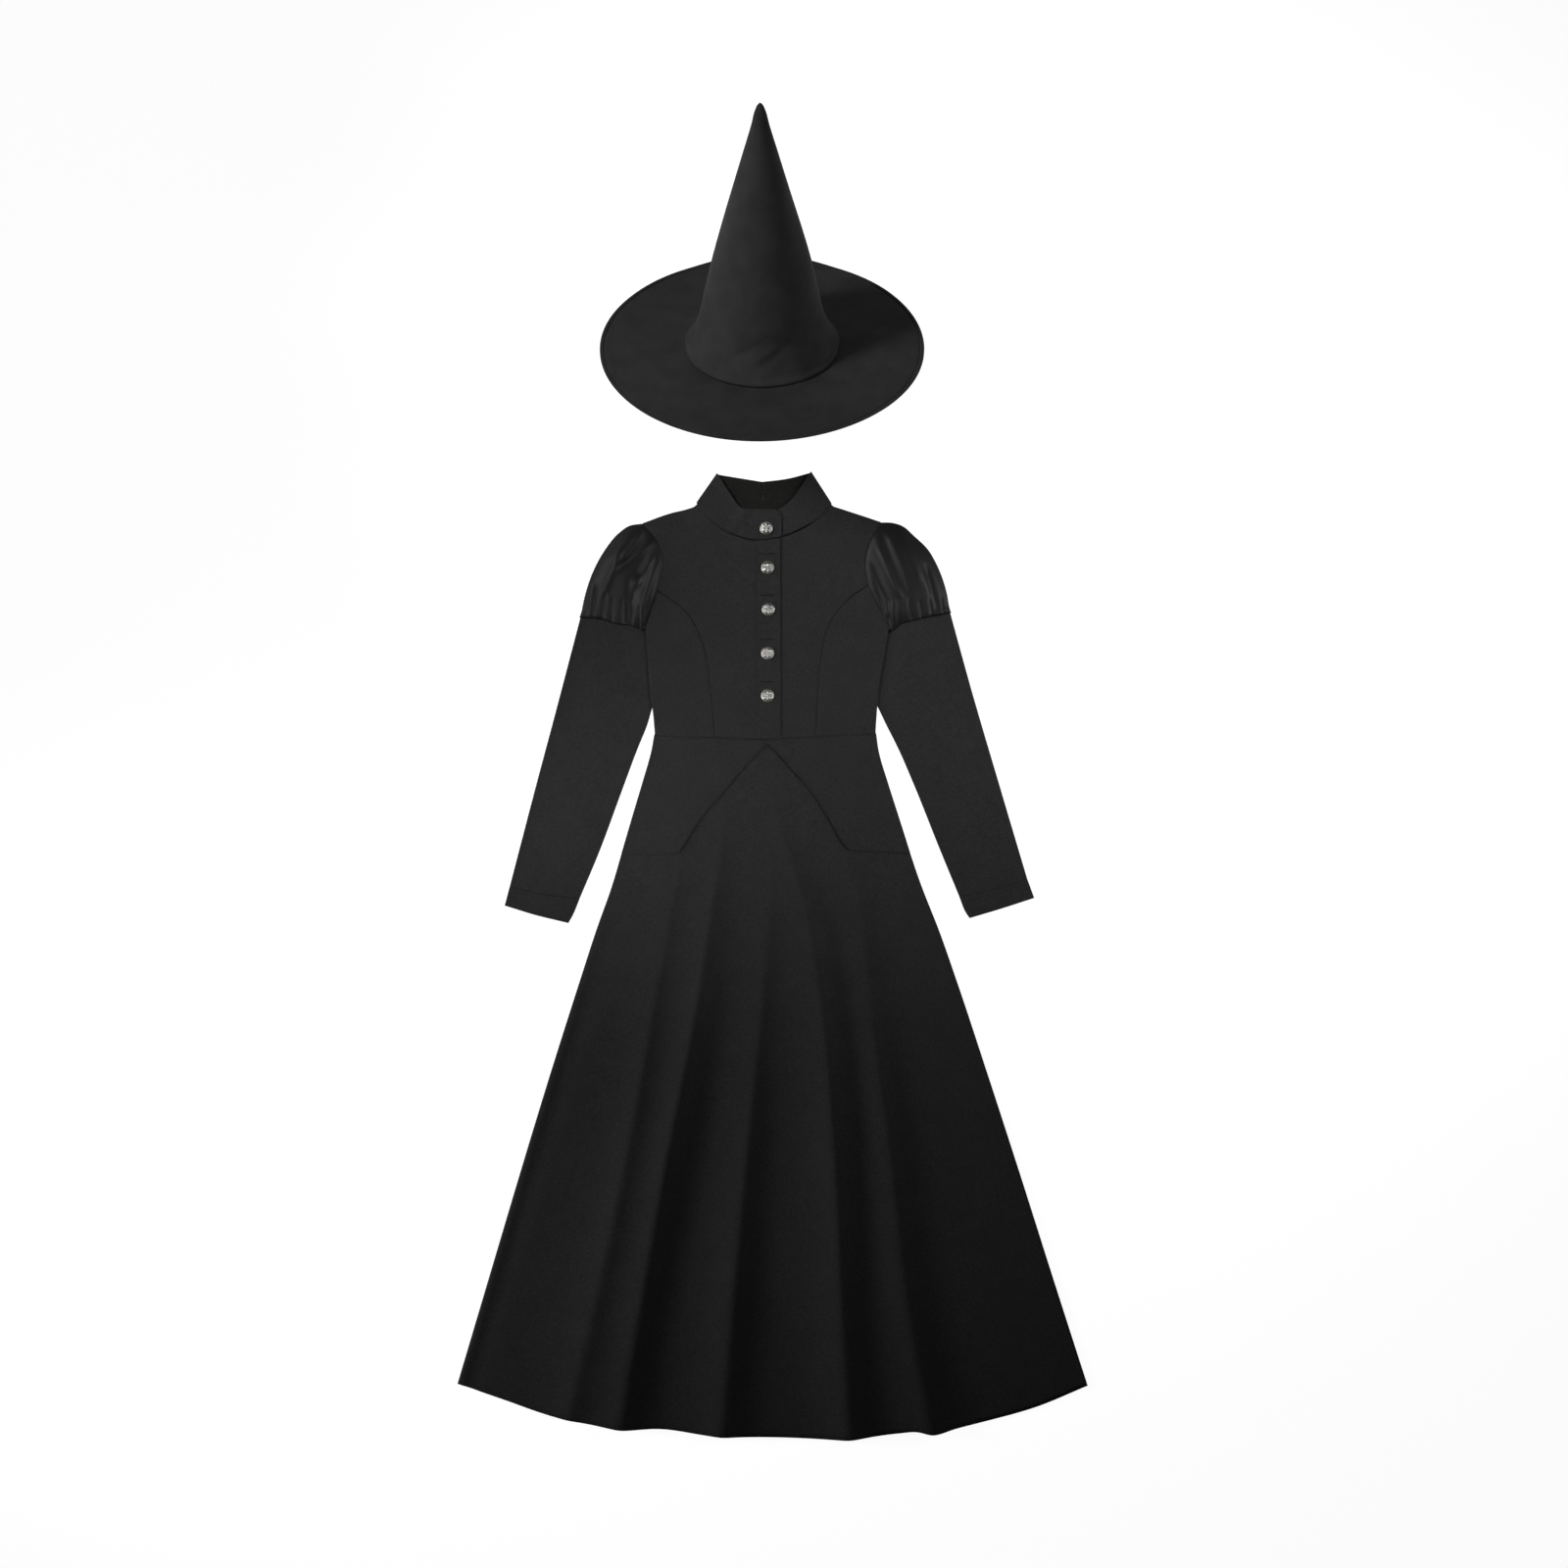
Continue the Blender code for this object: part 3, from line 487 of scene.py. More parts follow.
peplum = {
    "leftFlap": ((6, -2), (-34, -41), (-68, -81), (-102, -120), (-130, -165), (-135, -172)),
    "rightFlap": ((-21, -1), (-10, -3), (0, -9), (34, -44), (68, -84), (95, -126), (118, -163), (124, -168)),
    "flapLift": 1.6,
    "columns": 90,
    "rows": 70,
}


def peplumLevel(x, y):
    return skirtLevel(x, y) + layerStep + place["slopeSpare"]


def flapLevel(x, y):
    return peplumLevel(x, y) + peplum["flapLift"] * smoothStep((-y - 60) / 115)


def rightFlapLevel(x, y):
    over = (layerStep + 2 * place["slopeSpare"]) * (1 - smoothStep((x - 22) / 34))
    return flapLevel(x, y) + over


def buildPeplum():
    columns, rows = peplum["columns"], peplum["rows"]
    for end, level in (("left", flapLevel), ("right", rightFlapLevel)):
        free = smoothLine(peplum[end + "Flap"], rows)
        if end == "left":
            top = waistLine(-171.5, 6, columns, 1.0)
            side = sideLine(peplumDrop := skirt["peplumDrop"], top[0][1], "left", rows)
            side[0], free[0] = top[0], top[-1]
            bottom = smoothLine((side[-1], (-180, peplumDrop - 1.5), free[-1]), columns)
            plan = fourSided(top, bottom, side, free)
        else:
            top = waistLine(-21, 162, columns, 1.0)
            side = sideLine(-172, top[-1][1], "right", rows)
            side[0], free[0] = top[-1], top[0]
            bottom = smoothLine((free[-1], (170, -171), side[-1]), columns)
            plan = fourSided(top, bottom, free, side)
        points = raised(plan, level)
        fromLeft, fromRight, fromTop, fromBottom = edgeDistances(plan)
        fromFree = fromRight if end == "left" else fromLeft
        points[..., 2] += seamDip(fromTop, 2.5, 0.25) + 0.3 * bell(fromFree / 3) + 0.3 * bell(fromBottom / 3)
        points[..., 2] += softWaves(plan[..., 0], plan[..., 1], 45, 0.18, 3) * smoothStep(fromTop / 20)
        flap = clothPiece("peplumFlap" + end.capitalize(), inFrame(points), suiting, place["clothWall"])
        handOver(flap, ["peplum_front_" + end])
        # raised stitches in dark thread along each free edge, their dark line painted shade for the thin shadow at the
        # flap's edge
        edge = points[2:-3, -4 if end == "left" else 3].copy()
        edge[:, 2] += 0.7
        stitchLine("flapEdgeShadeStitches" + end.capitalize(), edge, fineStitch)
    hide = np.array([0.8, 0.0])
    top = waistLine(-171, 161.5, 50, 1.5)
    left = sideLine(-172, top[0][1], "left", 30) + hide
    right = sideLine(-172, top[-1][1], "right", 30) - hide
    top[0], top[-1] = left[0], right[0]
    bottom = smoothLine((left[-1], (0, skirt["peplumDrop"]), right[-1]), 50)
    plan = fourSided(top, bottom, left, right)
    back = clothPiece("peplumBack", inFrame(raised(plan, lambda x, y: np.zeros_like(x))), suiting, place["clothWall"])
    handOver(back, ["peplum_back"])
    print("peplum laid")


# bodice

bodice = {
    "shoulderLeft": ((-190.5, 325), (-147, 340.5), (-120, 347.3), (-111, 350.8), (-105.5, 357)),
    "shoulderRight": ((92.5, 357), (98, 351), (106, 348.3), (149.5, 334), (170, 327)),
    "neckLeft": ((-105.5, 357), (-82, 325), (-55, 308), (-21, 299), (19, 303)),
    "neckRight": ((-19, 300), (16, 303), (53, 317), (79, 336), (92.5, 357)),
    "armholeLeft": ((-190.5, 325), (-169, 299), (-160, 272), (-162, 245), (-167, 223)),
    "underarmLeft": ((-185.5, 167), (-176, 197), (-167, 223)),
    "armholeRight": ((170, 327), (154, 298), (147, 272), (147.5, 250), (151, 232)),
    "underarmRight": ((151, 232), (164, 203), (182, 167)),
    "princessLeft": ((-167, 223), (-142, 207), (-123, 191), (-106, 163), (-96, 136), (-88, 85), (-80, 2)),
    "princessRight": ((151, 232), (126, 215), (105, 194), (88, 165), (81, 136), (75, 78), (71, 3)),
    "lapEdge": 19,
    "underlapEdge": -19,
    "centreBack": -9,
    "bust": (85, 195, 52, 75, 3.5),  # across, up, half width, half height, fullness
    "frontLevel": 5.0,
    "shoulderLevel": 1.8,
    "tuckLevel": 3.5,
    "waistClose": np.array([0.0, 1.4]),  # the fronts are drawn down to the peplum's top edge
    "rows": (44, 76),  # along the armhole, along the princess seam
    "columns": (34, 56),  # along the shoulder, along the neck
}


def bodiceBackLevel(x, y):
    left = np.interp(y, sideHeights, leftEdges)
    right = np.interp(y, sideHeights, rightEdges)
    inside = np.minimum(x - left, right - x)
    band = smoothStep((y - 12) / 24) * smoothStep((232 - y) / 50)
    tuck = bodice["tuckLevel"] * band * smoothStep((62 - inside) / 44)
    return np.maximum(tuck, skirt["waistLevel"] * smoothStep((44 - y) / 36))


def frontLevel(x, y):
    corners = bodice["shoulderLeft"] + bodice["shoulderRight"]
    below = np.interp(x, [spot[0] for spot in corners], [spot[1] for spot in corners]) - y
    besideNeck = smoothStep((np.abs(x + 7) - 66) / 36)
    drop = (bodice["frontLevel"] - bodice["shoulderLevel"]) * besideNeck * (1 - smoothStep(below / 34))
    across, up, wide, tall, fullness = bodice["bust"]
    bust = fullness * np.exp(-(((np.abs(x) - across) / wide) ** 2) - ((y - up) / tall) ** 2)
    waist = (peplumLevel(x, np.minimum(y, 0.0)) - bodice["frontLevel"]) * smoothStep((40 - y) / 40)
    return bodice["frontLevel"] + bust + waist - drop


def lapRise(x):
    return (layerStep + place["slopeSpare"]) * smoothStep((x + 85) / 62)


def lapLevel(x, y):
    return frontLevel(x, y) + lapRise(x)


def frontPanel(name, node, plan, level, seams):
    # seams lists the edges whose seam pulls the cloth down: left, right, top, bottom
    points = raised(plan, level)
    distances = dict(zip(("left", "right", "top", "bottom"), edgeDistances(plan)))
    for edge in seams:
        points[..., 2] += seamDip(distances[edge])
    calm = np.minimum.reduce(list(distances.values()))
    points[..., 2] += softWaves(plan[..., 0], plan[..., 1], 38, 0.22, 5) * smoothStep(calm / 25)
    piece = clothPiece(name, inFrame(points), suiting, place["clothWall"])
    handOver(piece, [node])
    return points


def buildFronts():
    armRows, princessRows = bodice["rows"]
    shoulderColumns, neckColumns = bodice["columns"]
    total = shoulderColumns + neckColumns - 1
    side = joinedLines(smoothLine(bodice["armholeLeft"], armRows), smoothLine(bodice["princessLeft"], princessRows))
    top = joinedLines(smoothLine(bodice["shoulderLeft"], shoulderColumns), smoothLine(bodice["neckLeft"], neckColumns))
    lapEdge = bodice["lapEdge"]
    side[-1] = side[-1] - bodice["waistClose"]
    lap = smoothLine(((lapEdge, 303), (lapEdge, 1 - bodice["waistClose"][1])), len(side))
    waist = smoothLine(((-80, 2), (-40, 1), (lapEdge, 1)), total) - bodice["waistClose"]
    plan = fourSided(top, waist, side, lap)
    frontPanel("frontCentreLeft", "front_centre_left", plan, lapLevel, ("left", "top", "bottom"))

    side = joinedLines(smoothLine(bodice["armholeRight"], armRows), smoothLine(bodice["princessRight"], princessRows))
    top = joinedLines(smoothLine(bodice["neckRight"], neckColumns), smoothLine(bodice["shoulderRight"], shoulderColumns))
    side[-1] = side[-1] - bodice["waistClose"]
    underlap = smoothLine(((bodice["underlapEdge"], 300), (bodice["underlapEdge"], 1 - bodice["waistClose"][1])), len(side))
    waist = smoothLine(((bodice["underlapEdge"], 1), (20, 1), (71, 3)), total) - bodice["waistClose"]
    plan = fourSided(top, waist, underlap, side)
    frontPanel("frontCentreRight", "front_centre_right", plan, frontLevel, ("right", "top", "bottom"))

    gap = place["seamGap"]
    princess = smoothLine(bodice["princessLeft"], princessRows) - np.array([gap, 1.5 * gap])
    underarm = smoothLine(bodice["underarmLeft"], 40)
    underarm = underarm + np.linspace(0, 1, 40)[:, None] * (princess[0] - underarm[-1])
    flank = sideLine(6, 167, "left", princessRows)
    flank[0] = underarm[0]
    waist = smoothLine(((-171, 6), (-125, 3.5), (-80, 2)), 40)
    waist[-1] = princess[-1]
    waist, flank[-1], princess[-1] = waist - bodice["waistClose"], waist[0] - bodice["waistClose"], princess[-1] - bodice["waistClose"]
    plan = fourSided(underarm, waist, flank, princess)
    frontPanel("frontSideLeft", "front_side_left", plan, frontLevel, ("right", "top", "bottom"))

    princess = smoothLine(bodice["princessRight"], princessRows) + np.array([gap, -1.5 * gap])
    underarm = smoothLine(bodice["underarmRight"], 40)
    underarm = underarm + np.linspace(1, 0, 40)[:, None] * (princess[0] - underarm[0])
    flank = sideLine(9, 167, "right", princessRows)
    flank[0] = underarm[-1]
    waist = smoothLine(((71, 3), (115, 5.5), (161.5, 9)), 40)
    waist[0], waist[-1] = princess[-1], flank[-1]
    waist, flank[-1], princess[-1] = waist - bodice["waistClose"], flank[-1] - bodice["waistClose"], princess[-1] - bodice["waistClose"]
    plan = fourSided(underarm, waist, princess, flank)
    frontPanel("frontSideRight", "front_side_right", plan, frontLevel, ("left", "top", "bottom"))

    # the lap's inner stitch line, and a worked buttonhole above each button
    ys = np.linspace(292, 4, 90)
    xs = np.full_like(ys, -19.0)
    stitchLine("lapStitches", np.stack([xs, ys, lapLevel(xs, ys) + 1.35], axis=1), fineStitch)
    holes = []
    for name, x, y in buttons["rows"][1:]:
        hole = np.array([[x - 12, y + 21, 0.0], [x + 12, y + 21, 0.0]])
        hole[:, 2] = lapLevel(hole[:, 0], hole[:, 1]) + 1.45
        holes.append(hole)
    for number, hole in enumerate(holes, 2):
        for shift in (-0.55, 0.55):
            line = hole + np.array([0.0, shift, 0.0])
            stitchLine("buttonhole%d%s" % (number, "Low" if shift < 0 else "High"), line,
                       {"pitch": 1.1, "radius": 0.42})
    print("fronts laid")


def buildBacks():
    for end, outer in (("left", -1), ("right", 1)):
        shoulderPoints = bodice["shoulderLeft"] if outer < 0 else bodice["shoulderRight"][::-1]
        armholePoints = bodice["armholeLeft"] if outer < 0 else bodice["armholeRight"]
        underarmPoints = bodice["underarmLeft"][::-1] if outer < 0 else bodice["underarmRight"]
        hide = np.array([-0.4 * outer, -0.5])
        neckPoint = shoulderPoints[-1]
        centre = bodice["centreBack"] + outer * place["seamGap"] / 2
        shoulder = smoothLine(shoulderPoints, 20) + hide
        neck = smoothLine((neckPoint, (-60 if outer < 0 else 42, 342), (centre, 338.5)), 26)
        neck[0] = shoulder[-1]
        top = joinedLines(shoulder, neck)
        armhole = joinedLines(smoothLine(armholePoints, 20), smoothLine(underarmPoints, 14)) + hide
        flank = sideLine(6.5 if outer < 0 else 9.5, 166.5, end, 36) + hide * (1, 0)
        flank[0] = armhole[-1]
        edge = joinedLines(armhole, flank)
        middle = smoothLine(((centre, 338.5), (centre, 1)), len(edge))
        waist = smoothLine((flank[-1], (flank[-1][0] * 0.5, 3), (centre, 1)), len(top))
        plan = fourSided(top, waist, edge, middle)
        piece = clothPiece("back" + end.capitalize(), inFrame(raised(plan, bodiceBackLevel)), suiting, place["clothWall"])
        handOver(piece, ["back_" + end])
    print("backs laid")


# flattened and folded shapes


def foldArc(first, second, outward, steps=8):
    middle = (first + second) / 2
    up = (first - second) / 2
    reach = np.linalg.norm(up, axis=-1, keepdims=True)
    columns = []
    for step in range(1, steps):
        angle = math.pi * step / steps
        columns.append(middle + up * math.cos(angle) + outward * reach * math.sin(angle))
    return np.stack(columns, axis=1)


def outwardOf(layer, last):
    edge, neighbour = (layer[:, -1], layer[:, -2]) if last else (layer[:, 0], layer[:, 1])
    out = edge - neighbour
    out[:, 2] = 0.0
    return out / np.linalg.norm(out, axis=1, keepdims=True)


def folded(front, back, closed):
    parts = [front, foldArc(front[:, -1], back[:, 0], outwardOf(front, True)), back]
    if closed:
        parts += [foldArc(back[:, -1], front[:, 0], outwardOf(front, False)), front[:, :1]]
    return np.concatenate(parts, axis=1)


# collar

collar = {
    "footLeft": ((20, 304.6), (-21, 300.6), (-55, 309.6), (-82, 324.6), (-107, 354.5)),
    "topLeft": ((12, 346), (-13, 346), (-40, 348), (-58, 371), (-76, 399)),
    "endLeft": ((20, 304.6), (20.5, 325), (19, 339), (12, 346)),
    "footRight": ((-19, 301.8), (16, 304.8), (53, 319.2), (80, 336), (94, 353.5)),
    "topRight": ((-19, 342), (13, 345), (31, 357), (47, 377), (63, 401.5)),
    "backFoot": ((-107, 354.5), (-60, 344), (-9, 340), (40, 342), (94, 352)),
    "backTop": ((-76, 399), (-43, 393.5), (-9, 388), (30, 393), (63, 401.5)),
    "creases": {  # start, end, half width, rise
        "left": (
            ((-66, 300), (-26, 356), 6.0, 1.3),
            ((-52, 300), (-14, 346), 5.0, -0.9),
            ((-98, 352), (-40, 346), 6.0, -1.1),
            ((-92, 336), (-60, 318), 5.0, 0.5),
        ),
        "right": (((60, 316), (96, 356), 3.0, -0.5), ((50, 330), (80, 372), 6.0, 0.6)),
    },
    "level": 6.0,
    "foldRise": 4.0,
    "columns": 90,
    "rows": 36,
}


def collarFrontLevel(x, y):
    return collar["level"] + (frontLevel(x, np.full_like(y, 300.0)) - collar["level"]) * smoothStep((330 - y) / 30)


def collarLapLevel(x, y):
    return collarFrontLevel(x, y) + lapRise(x)


def collarHalf(end, foot, top, endLine, backFoot, backTop, level):
    columns, rows = collar["columns"], collar["rows"]
    side = smoothLine((foot[-1], top[-1]), rows)
    frontPlan = fourSided(smoothLine(foot, columns), smoothLine(top, columns), endLine, side)
    backEnd = smoothLine((backFoot[-1], backTop[-1]), rows)
    backPlan = fourSided(smoothLine(backFoot, columns // 2), smoothLine(backTop, columns // 2), side, backEnd)
    front = raised(frontPlan, level)
    nearFold = np.linspace(0, 1, columns)[None, :] ** 3
    front[..., 2] += nearFold * (collar["foldRise"] + place["clothWall"] / 2 - front[..., 2])
    fromEnd, fromFold, fromFoot, fromTop = edgeDistances(frontPlan)
    front[..., 2] += seamDip(fromFoot) + 0.25 * bell(fromTop / 2.5)
    for fold in collar["creases"][end]:
        front[..., 2] += crease(frontPlan[..., 0], frontPlan[..., 1], *fold)
    back = raised(backPlan, lambda x, y: np.zeros_like(x))
    # the inside of the collar gets a darker copy of the cloth, painted shade for the shadow inside the standing collar
    outside, inside = (collarShadeCloth, suiting) if end == "left" else (suiting, collarShadeCloth)
    piece = clothPiece("collar" + end.capitalize(), inFrame(folded(front, back, False)), outside, place["clothWall"])
    piece.data.materials.append(inside)
    piece.modifiers["wall"].material_offset = 1
    handOver(piece, ["collar_" + end])


def buildCollar():
    gap = 0.01
    centre = bodice["centreBack"]
    leftFoot = collar["backFoot"][:2] + ((centre - gap, 340),)
    leftTop = collar["backTop"][:2] + ((centre - gap, 388),)
    rightFoot = collar["backFoot"][:2:-1] + ((centre + gap, 340),)
    rightTop = collar["backTop"][:2:-1] + ((centre + gap, 388),)
    leftEnd = smoothLine(collar["endLeft"], collar["rows"])
    rightEnd = smoothLine((collar["footRight"][0], collar["topRight"][0]), collar["rows"])
    collarHalf("left", collar["footLeft"], collar["topLeft"], leftEnd, leftFoot, leftTop, collarLapLevel)
    collarHalf("right", collar["footRight"], collar["topRight"], rightEnd, rightFoot, rightTop, collarFrontLevel)
    print("collar folded")


# sleeves

sleeves = {
    "foldRadius": 1.0,
    "crest": 5.2,
    "tuckFoot": 46,
    "tuckWidth": 13,
    "left": {
        "head": ((-282, 184), (-252, 181), (-228, 172), (-204, 168), (-189, 160), (-175.5, 155)),
        "outer": ((-282, 184), (-315.5, 56), (-352.5, -83), (-389, -223)),
        "inner": ((-175.5, 155), (-171, 120), (-168.5, 85), (-170.5, 62), (-177, 46), (-183.5, 24), (-199.5, -16),
                  (-221.5, -75), (-257.5, -172), (-286.5, -241)),
        "seam": ((-389, -223), (-345, -233.5), (-286.5, -241)),
        "cuffCorner": (-297, -266),
        "cuffEdge": ((-396.5, -252), (-350, -266), (-303.5, -277.5)),
    },
    "right": {
        "head": ((273, 191), (246, 185), (221, 178), (200, 171.5), (186, 160), (172.5, 155)),
        "outer": ((273, 191), (303.5, 80), (349, -75), (390, -213)),
        "inner": ((172.5, 155), (164, 120), (157.5, 85), (160, 62), (168, 46), (178.5, 24), (198.5, -16), (221, -68),
                  (259.5, -164), (290, -238)),
        "seam": ((390, -213), (343, -227), (290, -238)),
        "cuffCorner": (300, -262),
        "cuffEdge": ((400, -240.5), (350, -256.5), (305.5, -270)),
    },
    "columns": 60,
    "rows": 150,
}
puffs = {
    "crest": 15.0,
    "left": {
        "armhole": ((-192, 323.5), (-171, 300), (-161.2, 272), (-163.2, 245), (-168.2, 222), (-177.5, 196), (-188, 168)),
        "foot": ((-281.5, 187), (-252, 184), (-228, 175), (-204, 171), (-189.5, 162)),
        "outer": ((-192, 323.5), (-209, 320.5), (-225, 309.5), (-244.5, 286), (-263.5, 251.5), (-275.5, 216),
                  (-281.5, 187)),
    },
    "right": {
        "armhole": ((171.5, 325.5), (156, 299), (148.6, 272), (149, 250), (152.5, 232), (165.5, 203.5), (183, 167)),
        "foot": ((272.5, 194), (246, 188), (221, 181), (200, 175), (184.5, 161)),
        "outer": ((171.5, 325.5), (186, 325), (201, 320.5), (220, 304.5), (239.5, 285.5), (253.5, 261.5),
                  (267.5, 222), (272.5, 194)),
    },
    "folds": {  # start, end, half width, rise of each fold
        "left": (
            ((-178, 324), (-226, 260), 6.5, -4.2),
            ((-160, 308), (-238, 244), 5.0, 2.2),
            ((-156, 302), (-206, 220), 8.0, -4.6),
            ((-196, 252), (-213, 168), 8.0, -3.6),
            ((-163, 276), (-192, 186), 5.0, 2.6),
            ((-220, 292), (-252, 208), 5.5, 2.4),
            ((-205, 318), (-246, 262), 7.0, 1.6),
            ((-274, 222), (-277, 172), 2.0, -1.6),
            ((-259, 238), (-266, 170), 3.0, -3.2),
            ((-245, 224), (-251, 168), 2.6, -2.8),
            ((-234, 216), (-236, 164), 2.4, -2.4),
            ((-220, 214), (-221, 158), 2.6, -3.0),
            ((-207, 208), (-206, 156), 2.4, -2.4),
            ((-194, 206), (-194, 150), 2.4, -2.4),
        ),
        "right": (
            ((166, 320), (212, 208), 5.0, -3.6),
            ((146, 284), (192, 190), 5.0, -3.2),
            ((158, 304), (204, 204), 4.0, 1.6),
            ((152, 256), (190, 160), 3.6, -2.0),
            ((198, 320), (234, 226), 8.0, 2.0),
            ((234, 268), (258, 184), 5.0, -2.8),
            ((170, 218), (178, 146), 2.4, -2.2),
            ((181, 214), (187, 152), 2.4, -2.6),
            ((193, 218), (199, 156), 2.4, -2.4),
            ((212, 216), (218, 160), 2.6, -2.8),
            ((228, 212), (233, 162), 2.4, -2.4),
            ((243, 216), (248, 168), 2.4, -2.2),
            ((261, 220), (266, 172), 2.2, -2.0),
        ),
    },
    "columns": 170,
    "rows": 80,
}


def tubeLayers(top, bottom, outer, inner, crestHeight):
    plan = fourSided(top, bottom, outer, inner)
    rows, columns = plan.shape[:2]
    across = np.linspace(0.0, 1.0, columns)[None, :] * np.ones((rows, 1))
    down = np.linspace(0.0, 1.0, rows)[:, None] * np.ones((1, columns))
    lowest = place["clothWall"] / 2
    height = lowest + 2 * sleeves["foldRadius"] + crestHeight(plan, across, down)
    front = np.concatenate([plan, height[..., None]], axis=-1)
    backPlan = plan[:, ::-1]
    back = np.concatenate([backPlan, np.full(backPlan.shape[:2] + (1,), lowest)], axis=-1)
    return front, back


def puffHeight(plan, across, down):
    x, y = plan[..., 0], plan[..., 1]
    lowest = place["clothWall"] / 2 + 2 * sleeves["foldRadius"]
    start = np.maximum(frontLevel(x, y)[:1] + place["clothWall"] / 2 - lowest, 0.0) * np.ones_like(x)
    finish = (sleeves["crest"] - lowest) * smoothStep(across / 0.16) * smoothStep((1 - across) / 0.25)
    rounding = (1 - (2 * across - 1) ** 4) * np.sin(math.pi * down**0.9) ** 0.7
    body = (1 - down) ** 3 * start + down**4 * finish + (puffs["crest"] - lowest) * rounding
    inside = smoothStep(across / 0.1) * smoothStep((1 - across) / 0.1) * smoothStep(0.15 + down / 0.2)
    end = "left" if x.mean() < 0 else "right"
    detail = sum(crease(x, y, *fold) for fold in puffs["folds"][end])
    return np.maximum(body + detail * inside * (1 - 0.55 * down**10), 0.0)


def sleeveHeight(plan, across, down):
    y = plan[..., 1]
    width = np.linalg.norm(plan[:, -1] - plan[:, 0], axis=1)[:, None]
    tucked = sleeves["tuckWidth"] * smoothStep((y - sleeves["tuckFoot"] + 26) / 26)
    swell = sleeves["crest"] - place["clothWall"] / 2 - 2 * sleeves["foldRadius"]
    height = swell * smoothStep(0.12 + across * width / 55) * smoothStep(0.10 + ((1 - across) * width - tucked) / 60)
    calm = smoothStep(across * width / 25) * smoothStep(((1 - across) * width - tucked) / 25)
    return height + calm * softWaves(plan[..., 0], y, 40, 0.35, 7)


def buildSleeves():
    for end in ("left", "right"):
        shape, puff = sleeves[end], puffs[end]
        rows, columns = puffs["rows"], puffs["columns"]
        head, foot = smoothLine(puff["armhole"], columns), smoothLine(puff["foot"], columns)
        front, back = tubeLayers(head, foot, smoothLine(puff["outer"], rows), smoothLine((head[-1], foot[-1]), rows), puffHeight)
        tuck = np.array([4.0 if end == "left" else -4.0, -0.8, 0.0])
        under = front[:1] + tuck
        under[..., 2] = frontLevel(under[..., 0], under[..., 1]) - 1.0
        lip = front[-1:] + (front[-1:] - front[-4:-3]) * 0.8
        lip[..., 2] = front[-1:, :, 2] + 0.4
        front[-3:, :, 2] += np.array([0.4, 1.0, 1.2])[:, None]
        front = np.concatenate([under, front, lip])
        back = np.concatenate([back[:1] + tuck * 0.2, back, back[-1:] + (back[-1:] - back[-2:-1]) * 0.5])
        piece = clothPiece("puff" + end.capitalize(), inFrame(folded(front, back[:, ::3], True)), satin, place["clothWall"], True)
        handOver(piece, ["puff_" + end])

        rows, columns = sleeves["rows"], sleeves["columns"]
        head, seam = smoothLine(shape["head"], columns), smoothLine(shape["seam"], columns)
        outer, inner = smoothLine(shape["outer"], rows), smoothLine(shape["inner"], rows)
        front, back = tubeLayers(head, seam, outer, inner, sleeveHeight)
        under = front[:1] + (front[:1] - front[2:3]) * 1.2
        under[..., 2] = front[:1, :, 2] - 1.6
        front[0, :, 2] -= 0.5
        front = np.concatenate([under, front])
        back = np.concatenate([back[:1] + (back[:1] - back[1:2]) * 0.4, back])
        piece = clothPiece("sleeve" + end.capitalize(), inFrame(folded(front, back[:, ::2], True)), suiting, place["clothWall"], True)
        handOver(piece, ["sleeve_" + end])

        edge = smoothLine(shape["cuffEdge"], columns)
        onward = edge.mean(axis=0) - seam.mean(axis=0)
        seam = seam - onward / np.linalg.norm(onward) * 0.5
        outer, inner = smoothLine((seam[0], edge[0]), 16), smoothLine((seam[-1], shape["cuffCorner"], edge[-1]), 16)
        front, back = tubeLayers(seam, edge, outer, inner, sleeveHeight)
        fromSeam = np.linalg.norm(front[..., :2] - front[:1, :, :2], axis=-1)
        front[..., 2] += 0.35 * smoothStep(fromSeam / 2.0)
        piece = clothPiece("cuff" + end.capitalize(), inFrame(folded(front, back[:, ::2], True)), suiting, place["clothWall"], True)
        handOver(piece, ["cuff_" + end])
        line = front[3, 2:-2].copy()
        line[:, 2] += 0.75
        stitchLine("cuffStitches" + end.capitalize(), line, fineStitch)
    print("sleeves laid")


# buttons

buttons = {
    "rows": (  # name, x, y
        ("button_1", -3, 317),
        ("button_2", -1, 258),
        ("button_3", 0, 195),
        ("button_4", -1, 129),
        ("button_5", -1, 65),
    ),
    "profile": ((0, 5.5), (3.5, 5.1), (6.6, 4.1), (8.8, 2.8), (10, 1.4), (9.7, 0.4), (8.8, 0.05), (0, 0.05)),
    "petals": 8,
    "petalRise": 0.55,
    "beads": 22,
    "silver": (0.62, 0.61, 0.58),
    "patina": (0.035, 0.033, 0.030),
    "roughness": 0.30,
}


